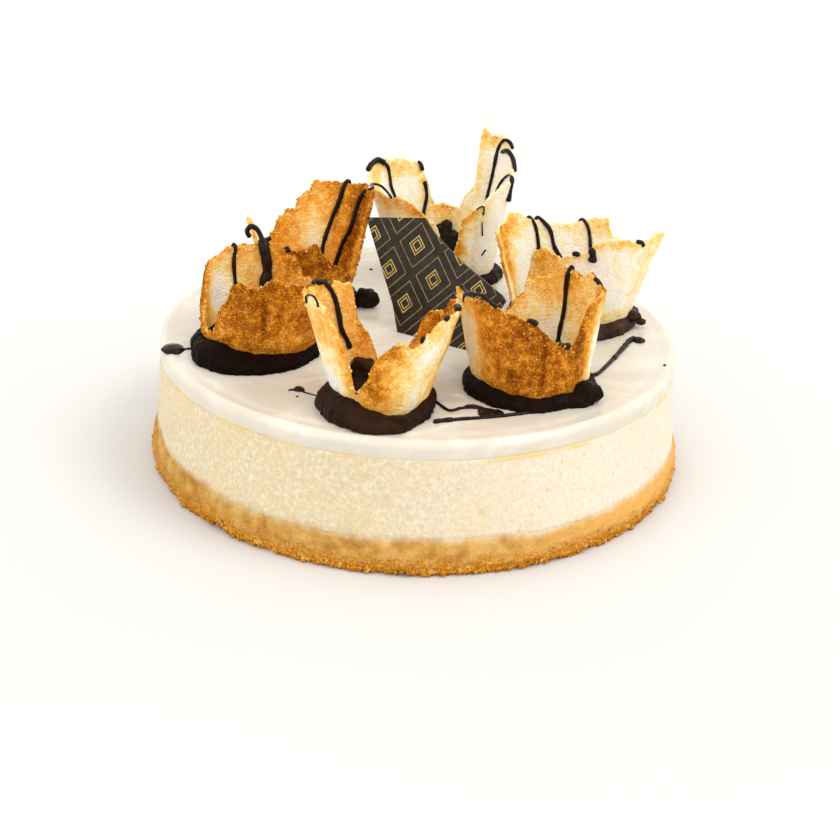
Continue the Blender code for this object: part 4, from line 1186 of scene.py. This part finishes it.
class CHEESECAKE_OT_wafer_baskets(bpy.types.Operator):
    """Build the six broken wafer baskets with their grainy, toasted walls"""

    bl_idname = "cheesecake.wafer_baskets"
    bl_label = "Wafer baskets"

    COLUMNS = 384
    ROWS = 44
    GRAINS = 520
    DEGREE_WIDTH_MM = 0.45

    def execute(self, context):
        """Make every basket."""
        settings = context.scene.cheesecake_wafer
        clear_pieces([f"wafer_{key}" for key in BASKETS])
        finish = wafer_finish(settings.pale_colour, settings.gold_colour, settings.brown_colour)
        for key, basket in BASKETS.items():
            piece = self.basket(key, basket, settings, finish)
            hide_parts(f"wafer_basket_{key}")
        return {"FINISHED"}

    def basket(self, key, basket, settings, finish):
        """One basket: two faces with relief, a rounded rim and grains of sugar on it."""
        degrees = self.columns(basket)
        rims = rim_heights(basket, degrees, settings.rim_bite)
        rings = []
        levels = []
        for face, parts in (("outer", np.linspace(0.0, 1.0, self.ROWS)),
                            ("inner", np.linspace(1.0, 0.0, self.ROWS))):
            angle = np.broadcast_to(degrees, (self.ROWS, len(degrees)))
            height = WALL_FOOT + parts[:, None] * (rims - WALL_FOOT)
            thick = settings.thick_low + (settings.thick_high - settings.thick_low) * parts
            inset = np.zeros(height.shape)
            if face == "inner":
                inset += thick[:, None]
            plain = wall_points(basket, angle, height, inset)
            toast_and_shading = toast_and_shading_levels(basket, face, angle, height, rims, plain, settings.rim_toast)
            relief = self.relief(face, height, plain, toast_and_shading, settings.grain_relief)
            inset += relief if face == "outer" else -relief
            inset += self.folds(basket, angle, height)
            rings.append(wall_points(basket, angle, height, inset))
            levels.append(toast_and_shading)
            if face == "outer":
                over = wall_points(basket, degrees, rims + 0.25 * MM,
                                   np.full(rims.shape, 0.5 * settings.thick_high))
                rings.append(over[None])
                # The ring over the rim is drawn a little paler than the wall's top: a painted
                # highlight on the rim.
                levels.append(np.clip(toast_and_shading[-1:] - 0.06, 0.0, 1.0))
        rings = np.concatenate(rings)
        toast_and_shading = np.concatenate(levels)
        wall = (rings.reshape(-1, 3), ring_faces(len(rings), len(degrees), looped=True))
        grains, grain_faces, grain_toast_and_shading = self.rim_grains(rings, toast_and_shading)
        points, faces = joined((wall, (grains, grain_faces)))
        return make_piece(f"wafer_{key}", points, faces, finish,
                          np.concatenate((toast_and_shading.ravel(), grain_toast_and_shading)))

    def columns(self, basket):
        """Angles of the columns: closer together where the rim is steep."""
        fine = np.linspace(0.0, 360.0, 3601)
        rim = around_table(fine, basket["rim"])
        girth = np.hypot(np.diff(fine) * self.DEGREE_WIDTH_MM, 0.5 * np.diff(rim))
        length = np.concatenate(((0.0,), np.cumsum(girth)))
        steps = np.linspace(0.0, length[-1], self.COLUMNS, endpoint=False)
        return np.interp(steps, length, fine)

    def relief(self, face, height, plain, toast_and_shading, grain_relief):
        """How far a face sinks in: big soft dents, and grains where it is toasted."""
        grains = 0.6 * grain_noise(plain, 1.9 * MM) + 0.4 * grain_noise(plain, 1.0 * MM, 5.0)
        depth = grain_relief * np.clip(1.25 * toast_and_shading - 0.12, 0.05, 1.0)
        dents = 0.45 * MM * soft_noise(plain, 9.0 * MM, 3.0)
        dents += 0.12 * MM * soft_noise(plain, 3.0 * MM)
        dents *= np.clip(height / (12.0 * MM), 0.0, 1.0)
        return (dents if face == "outer" else -dents) - depth * (grains - 0.5)

    def folds(self, basket, angle, height):
        """Both faces move together where the wafer is creased."""
        moved = np.zeros(height.shape)
        rise = np.clip(height / (8.0 * MM), 0.0, 1.0)
        for at, wide, depth in basket["creases"]:
            moved += depth * MM * np.exp(-((degrees_apart(angle, at) / wide) ** 2)) * rise
        return moved

    def rim_grains(self, rings, toast_and_shading):
        """Small grains of baked sugar on the toasted rim, paler than it: pale sugar, and partly a
        painted highlight.
        """
        chance = np.random.default_rng(17)
        drop = np.rint(chance.normal(0.0, 3.5, self.GRAINS)).astype(int)
        rows = np.clip(self.ROWS + drop, 0, len(rings) - 1)
        columns = chance.integers(0, rings.shape[1], self.GRAINS)
        keep = chance.random(self.GRAINS) < np.clip(1.7 * toast_and_shading[rows, columns] - 0.2, 0.0, 1.0)
        rows = rows[keep]
        columns = columns[keep]
        sizes = chance.uniform(0.35, 0.9, len(rows)) * MM
        points, faces = scatter(rings[rows, columns], sizes, 5, subdivisions=1, rough=0.3)
        # Grains are mostly paler than the wall under them: partly pale sugar, partly a painted
        # highlight.
        level = np.clip(toast_and_shading[rows, columns] + chance.uniform(-0.22, 0.04, len(rows)), 0.16, 0.55)
        return points, faces, np.repeat(level, len(points) // len(rows))


class CHEESECAKE_OT_chocolate_puddles(bpy.types.Operator):
    """Build the lumpy chocolate that each basket stands in"""

    bl_idname = "cheesecake.chocolate_puddles"
    bl_label = "Chocolate puddles"

    AROUND = 240
    ROWS = 42

    def execute(self, context):
        """Make every puddle."""
        settings = context.scene.cheesecake_chocolate
        clear_pieces([f"puddle_{key}" for key in BASKETS])
        for key, basket in BASKETS.items():
            finish = chocolate_finish(settings.chocolate_colour, basket["bloom"])
            piece = self.puddle(key, basket, finish)
            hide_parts(f"chocolate_puddle_{key}")
        return {"FINISHED"}

    def puddle(self, key, basket, finish):
        """Skirt outside the wall and fill inside it, as rings from the edge to the middle.

        Seven marks along the section give the shares of the foot's radii, of the spread, of
        the fill's height in mm and of the skirt's height.
        """
        x, y, half_width, half_depth = (MM * value for value in basket["foot"])
        fill = basket["fill"]
        steps = np.linspace(0.0, 6.0, self.ROWS)
        inside, outside, floor_part, skirt_part = (
            rounded(np.interp(steps, range(7), marks), rounds) for marks, rounds in (
                ((1.0, 1.0, 1.0, 1.0, 0.93, 0.84, 0.5), 2),
                ((0.96, 1.0, 0.92, 0.32, 0.0, 0.0, 0.0), 3),
                ((0.0, 0.9, 0.0, 0.0, 0.0, fill, fill), 3),
                ((0.0, 0.0, 0.62, 1.0, 0.9, 0.0, 0.0), 3)))
        degrees = np.linspace(0.0, 360.0, self.AROUND, endpoint=False)
        skirt = MM * around_table(degrees, basket["skirt"])
        rise = MM * floor_part[:, None] + skirt_part[:, None] * skirt
        turns = np.radians(degrees)
        edge = np.stack((3.0 * np.cos(turns), 3.0 * np.sin(turns),
                         np.full(turns.shape, basket["foot"][0])), axis=-1)
        spread = MM * around_table(degrees, basket["spread"]) + 1.2 * MM * soft_noise(edge, 1.0)
        spread = spread + 0.7 * MM * soft_noise(edge * 9.0, 2.2)
        spread = spread + 0.45 * MM * soft_noise(edge * 9.0, 0.8, 4.0)
        past = outside[:, None] * spread
        rings = np.stack((x + (half_width * inside[:, None] + past) * np.cos(turns),
                          y + (half_depth * inside[:, None] + past) * np.sin(turns),
                          CREAM_TOP + rise), axis=-1)
        body = np.clip(rise / (1.5 * MM), 0.0, 1.0)
        lumps = 0.8 * MM * soft_noise(rings, 6.0 * MM, 2.0)
        lumps += 0.35 * MM * soft_noise(rings, 2.4 * MM)
        rings[..., 2] += lumps * body
        swell = 0.45 * MM * soft_noise(rings, 3.6 * MM, 7.0) * body
        away = rings[..., :2] - np.array((x, y))
        rings[..., :2] += away / np.linalg.norm(away, axis=-1)[..., None] * swell[..., None]
        parts = [turned_shape(rings)]
        for number, lump in enumerate(PUDDLE_LUMPS.get(key, ())):
            parts.append(self.lump(number, *lump))
        return make_piece(f"puddle_{key}", *joined(parts), finish)

    def lump(self, number, x, y, low, radius, height):
        """Thick uneven dollop of chocolate."""
        points, faces = ball(4)
        rough = 1.0 + 0.26 * soft_noise(points, 0.6, number + 4.0)
        lump = points * rough[:, None] * np.array((radius, radius, 0.5 * height)) * MM
        lump += np.array((x * MM, y * MM, CREAM_TOP + (low + 0.5 * height) * MM))
        lump[:, 2] = np.maximum(lump[:, 2], CREAM_TOP)
        return lump, faces.tolist()


def smooth_path(points, step):
    """Points at even steps on a smooth curve through the given ones."""
    points = np.array(points)
    padded = np.concatenate((2.0 * points[:1] - points[1:2], points,
                             2.0 * points[-1:] - points[-2:-1]))
    curve = []
    for before, start, end, after in zip(padded, padded[1:], padded[2:], padded[3:]):
        count = max(2, math.ceil(np.linalg.norm(end - start) / step))
        for part in np.arange(count) / count:
            curve.append(0.5 * (2.0 * start + (end - before) * part
                                + (2.0 * before - 5.0 * start + 4.0 * end - after) * part ** 2
                                + (3.0 * (start - end) + after - before) * part ** 3))
    curve.append(points[-1])
    return np.array(curve)


def chocolate_line(points, radius, seed, blob=1.25):
    """Points and faces of a run line of chocolate with round ends and a thicker last drop."""
    path = smooth_path(points, 0.45 * radius)
    ahead = np.gradient(path, axis=0)
    ahead /= np.linalg.norm(ahead, axis=1)[:, None]
    length = np.concatenate(((0.0,), np.cumsum(np.linalg.norm(np.diff(path, axis=0), axis=1))))
    across = np.cross(ahead[0], (0.31, 0.17, 0.93))
    thick = 0.26 * soft_noise(path, 4.5 * MM, seed) + 0.12 * soft_noise(path, 1.6 * MM, seed)
    radii = radius * (1.0 + thick)
    radii *= 1.0 + (blob - 1.0) * np.exp(-((length[-1] - length) / (2.2 * radius)) ** 2)
    for ends in (length, length[-1] - length):
        radii *= np.sqrt(np.clip(1.0 - (1.0 - ends / radius).clip(0.0) ** 2, 0.004, 1.0))
    rings = []
    turns = even_turns(LINE_SIDES)[:, None]
    for spot, way, size in zip(path, ahead, radii):
        across = across - way * np.dot(across, way)
        across = across / np.linalg.norm(across)
        over = np.cross(way, across)
        rings.append(spot + size * (np.cos(turns) * across + np.sin(turns) * over))
    points = np.concatenate((np.concatenate(rings), path[:1], path[-1:]))
    return points, ring_faces(len(path), LINE_SIDES, low_cap=True, high_cap=True)


class CHEESECAKE_OT_drizzle(bpy.types.Operator):
    """Run the lines of chocolate over the rims and down the walls of the baskets"""

    bl_idname = "cheesecake.drizzle"
    bl_label = "Drizzle"

    def execute(self, context):
        """Make one piece of drizzle for each basket, and the thread between two of them."""
        settings = context.scene.cheesecake_chocolate
        clear_pieces([f"drizzle_{key}" for key in BASKETS])
        finish = drizzle_finish(settings.chocolate_colour)
        for key, basket in BASKETS.items():
            parts = []
            for number, (radius, line) in enumerate(basket["lines"]):
                angles, heights, depths = (np.array(column, float) for column in zip(*line))
                spots = wall_points(basket, angles, heights * MM, depths * MM)
                parts.append(chocolate_line(spots, radius * MM, 3.0 * number + 1.0))
            if key == "back_left":
                parts.append(self.thread())
            points, faces = joined(parts)
            piece = make_piece(f"drizzle_{key}", points, faces, finish)
            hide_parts(f"wafer_basket_{key}")
        return {"FINISHED"}

    def thread(self):
        """Thin thread from the rim of the back left basket to the rim of the back one."""
        spots = [wall_points(BASKETS[key], np.array(angle), np.array(height * MM), 0.5 * MM)
                 for key, angle, height in THREAD]
        return chocolate_line(np.array(spots), 0.55 * MM, 9.0)


class CHEESECAKE_OT_fallen_chocolate(bpy.types.Operator):
    """Let drops and thin lines of chocolate fall on the cream"""

    bl_idname = "cheesecake.fallen_chocolate"
    bl_label = "Fallen chocolate"

    def execute(self, context):
        """Make the drops and lines as one piece."""
        settings = context.scene.cheesecake_chocolate
        clear_pieces(("fallen_chocolate",))
        parts = [self.drop(*drop) for drop in DROPS]
        for number, (radius, line) in enumerate(DRIPS):
            spots = np.array([(x, y, 0.35 * radius) for x, y in line]) * MM
            spots[:, 2] += CREAM_TOP
            parts.append(chocolate_line(spots, radius * MM, 5.0 * number, blob=1.05))
        points, faces = joined(parts)
        points[:, 2] = np.maximum(points[:, 2], CREAM_TOP - 0.4 * MM)
        piece = make_piece("fallen_chocolate", points, faces,
                           drizzle_finish(settings.chocolate_colour))
        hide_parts("cream_topping")
        return {"FINISHED"}

    def drop(self, x, y, radius, height):
        """Low uneven dome."""
        points, faces = ball(4)
        sides = 1.0 + 0.16 * soft_noise(points * np.array((1.0, 1.0, 0.2)), 0.6, x)
        top = 1.0 + 0.12 * soft_noise(points, 0.35, y)
        dome = points * np.stack((radius * sides, radius * sides, height * top), axis=-1)
        return dome * MM + np.array((x * MM, y * MM, CREAM_TOP)), faces.tolist()


def plaque_place():
    """Matrix whose X runs along the plaque's foot, Y up its face and Z out of its front."""
    left = Vector((PLAQUE_FOOT_LEFT[0] * MM, PLAQUE_FOOT_LEFT[1] * MM, CREAM_TOP))
    right = Vector((PLAQUE_FOOT_RIGHT[0] * MM, PLAQUE_FOOT_RIGHT[1] * MM, CREAM_TOP))
    along = (right - left).normalized()
    lean = math.radians(PLAQUE_LEAN_DEGREES)
    upright = Vector((0.0, 0.0, 1.0))
    front = along.cross(upright) * math.cos(lean) + upright * math.sin(lean)
    turned = Matrix((along, front.cross(along), front)).transposed().to_4x4()
    return Matrix.Translation(left) @ turned


class CHEESECAKE_OT_plaque(bpy.types.Operator):
    """Stand the thin printed chocolate plaque in the cream"""

    bl_idname = "cheesecake.plaque"
    bl_label = "Plaque"

    def execute(self, context):
        """Make the plaque, sharp only at its edges."""
        settings = context.scene.cheesecake_chocolate
        clear_pieces(("plaque_sheet",))
        finish = plaque_finish(settings.plaque_colour, settings.print_colour,
                               settings.lattice_pitch)
        piece = make_piece("plaque_sheet", *self.sheet(), finish, place=plaque_place())
        piece.data.set_sharp_from_angle(angle=math.radians(40.0))
        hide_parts("chocolate_plaque")
        return {"FINISHED"}

    def sheet(self):
        """Points and faces of a flat sheet with softened edges."""
        count = len(PLAQUE_OUTLINE)
        maker = bmesh.new()
        corners = [maker.verts.new((x * MM, y * MM, side * PLAQUE_THICK))
                   for side in (-0.5, 0.5) for x, y in PLAQUE_OUTLINE]
        for face in ring_faces(2, count) + [range(count), range(count, 2 * count)]:
            maker.faces.new([corners[corner] for corner in face])
        bmesh.ops.recalc_face_normals(maker, faces=maker.faces)
        bmesh.ops.bevel(maker, geom=maker.edges[:], offset=PLAQUE_BEVEL, segments=3,
                        profile=0.6, affect="EDGES")
        bmesh.ops.recalc_face_normals(maker, faces=maker.faces)
        maker.verts.index_update()
        points = np.array([vert.co for vert in maker.verts])
        faces = [[vert.index for vert in face.verts] for face in maker.faces]
        maker.free()
        return points, faces


class CHEESECAKE_OT_stage(bpy.types.Operator):
    """Set the camera, the pale floor and the soft light"""

    bl_idname = "cheesecake.stage"
    bl_label = "Stage"

    FLOOR_REACH = 6.0
    KEY_SPREAD = math.radians(28.0)
    KEY_WAY = (0.85, -0.25, 1.15)
    FILL_SPREAD = math.radians(60.0)
    FILL_WAY = (-0.75, -0.80, 0.85)

    def execute(self, context):
        """Make the camera, the floor and the light."""
        scene = context.scene
        settings = scene.cheesecake_stage
        self.camera(scene, settings)
        self.floor(scene)
        self.room(scene, settings.room_light)
        self.lamp(scene, "key", settings.key_light, self.KEY_SPREAD, self.KEY_WAY)
        self.lamp(scene, "fill", settings.fill_light, self.FILL_SPREAD, self.FILL_WAY)
        return {"FINISHED"}

    def floor(self, scene):
        """Square floor under the cake, far wider than the view."""
        reach = self.FLOOR_REACH
        corners = [(-reach, -reach, 0.0), (reach, -reach, 0.0), (reach, reach, 0.0),
                   (-reach, reach, 0.0)]
        mesh = bpy.data.meshes.new("floor")
        mesh.from_pydata(corners, [], [(0, 1, 2, 3)])
        mesh.materials.append(floor_finish())
        floor = bpy.data.objects.new("floor", mesh)
        scene.collection.objects.link(floor)

    def room(self, scene, strength):
        """Even light from all round, shown without a tone curve."""
        world = bpy.data.worlds.new("studio")
        world.use_nodes = True
        background = world.node_tree.nodes["Background"]
        background.inputs["Color"].default_value = DAYLIGHT
        background.inputs["Strength"].default_value = strength
        scene.world = world
        scene.view_settings.view_transform = "Standard"

    def lamp(self, scene, name, strength, spread, way):
        """Wide soft sun that shines from one side."""
        light = bpy.data.lights.new(name, "SUN")
        light.energy = strength
        light.angle = spread
        light.color = LAMP_COLOUR
        lamp = bpy.data.objects.new(name, light)
        scene.collection.objects.link(lamp)
        lamp.rotation_euler = Vector(way).to_track_quat("Z", "Y").to_euler()

    def camera(self, scene, settings):
        """The photograph's view: aimed at the cake's foot, then turned a little."""
        data = bpy.data.cameras.new("camera")
        data.sensor_width = 36.0
        data.lens = settings.lens
        data.clip_end = 50.0
        rise = settings.camera_height
        forward = Vector((0.0, math.cos(rise), -math.sin(rise)))
        right = Vector((1.0, 0.0, 0.0))
        up = right.cross(forward)
        yaw, pitch, roll = settings.camera_turn
        for angle, axis in ((yaw, "up"), (pitch, "right"), (roll, "forward")):
            ways = {"up": up, "right": right, "forward": forward}
            turn = Matrix.Rotation(angle, 3, ways[axis])
            forward, right, up = turn @ forward, turn @ right, turn @ up
        camera = bpy.data.objects.new("camera", data)
        scene.collection.objects.link(camera)
        turned = Matrix((right, up, -forward)).transposed().to_4x4()
        spot = Vector((0.0, -math.cos(rise), math.sin(rise))) * settings.camera_distance
        camera.matrix_world = Matrix.Translation(spot) @ turned
        scene.camera = camera


class CHEESECAKE_PT_panel(bpy.types.Panel):
    """Lists the steps that build the cheesecake"""

    bl_label = "Cheesecake"
    bl_idname = "CHEESECAKE_PT_panel"
    bl_space_type = "VIEW_3D"
    bl_region_type = "UI"
    bl_category = "Cheesecake"

    def draw(self, context):
        """One button for each step, under its settings."""
        for group in (context.scene.cheesecake_cake, context.scene.cheesecake_wafer,
                      context.scene.cheesecake_chocolate, context.scene.cheesecake_stage):
            box = self.layout.box()
            for name in group.__annotations__:
                box.prop(group, name)
        for step in STEPS:
            self.layout.operator(step.bl_idname)


GROUPS = (("cheesecake_cake", CakeSettings), ("cheesecake_wafer", WaferSettings),
          ("cheesecake_chocolate", ChocolateSettings), ("cheesecake_stage", StageSettings))
STEPS = (CHEESECAKE_OT_biscuit_base, CHEESECAKE_OT_cheese_filling, CHEESECAKE_OT_cream_topping,
         CHEESECAKE_OT_wafer_baskets, CHEESECAKE_OT_chocolate_puddles, CHEESECAKE_OT_drizzle,
         CHEESECAKE_OT_fallen_chocolate, CHEESECAKE_OT_plaque, CHEESECAKE_OT_stage)


def register():
    """Register the settings, the steps and the panel."""
    for name, group in GROUPS:
        bpy.utils.register_class(group)
        setattr(bpy.types.Scene, name, PointerProperty(type=group))
    for step in STEPS:
        bpy.utils.register_class(step)
    bpy.utils.register_class(CHEESECAKE_PT_panel)


def unregister():
    """Take everything out again."""
    bpy.utils.unregister_class(CHEESECAKE_PT_panel)
    for step in reversed(STEPS):
        bpy.utils.unregister_class(step)
    for name, group in reversed(GROUPS):
        delattr(bpy.types.Scene, name)
        bpy.utils.unregister_class(group)


def main():
    """Build the whole cake."""
    register()
    for step in STEPS:
        group, name = step.bl_idname.split(".")
        getattr(getattr(bpy.ops, group), name)()


if __name__ == "__main__":
    main()
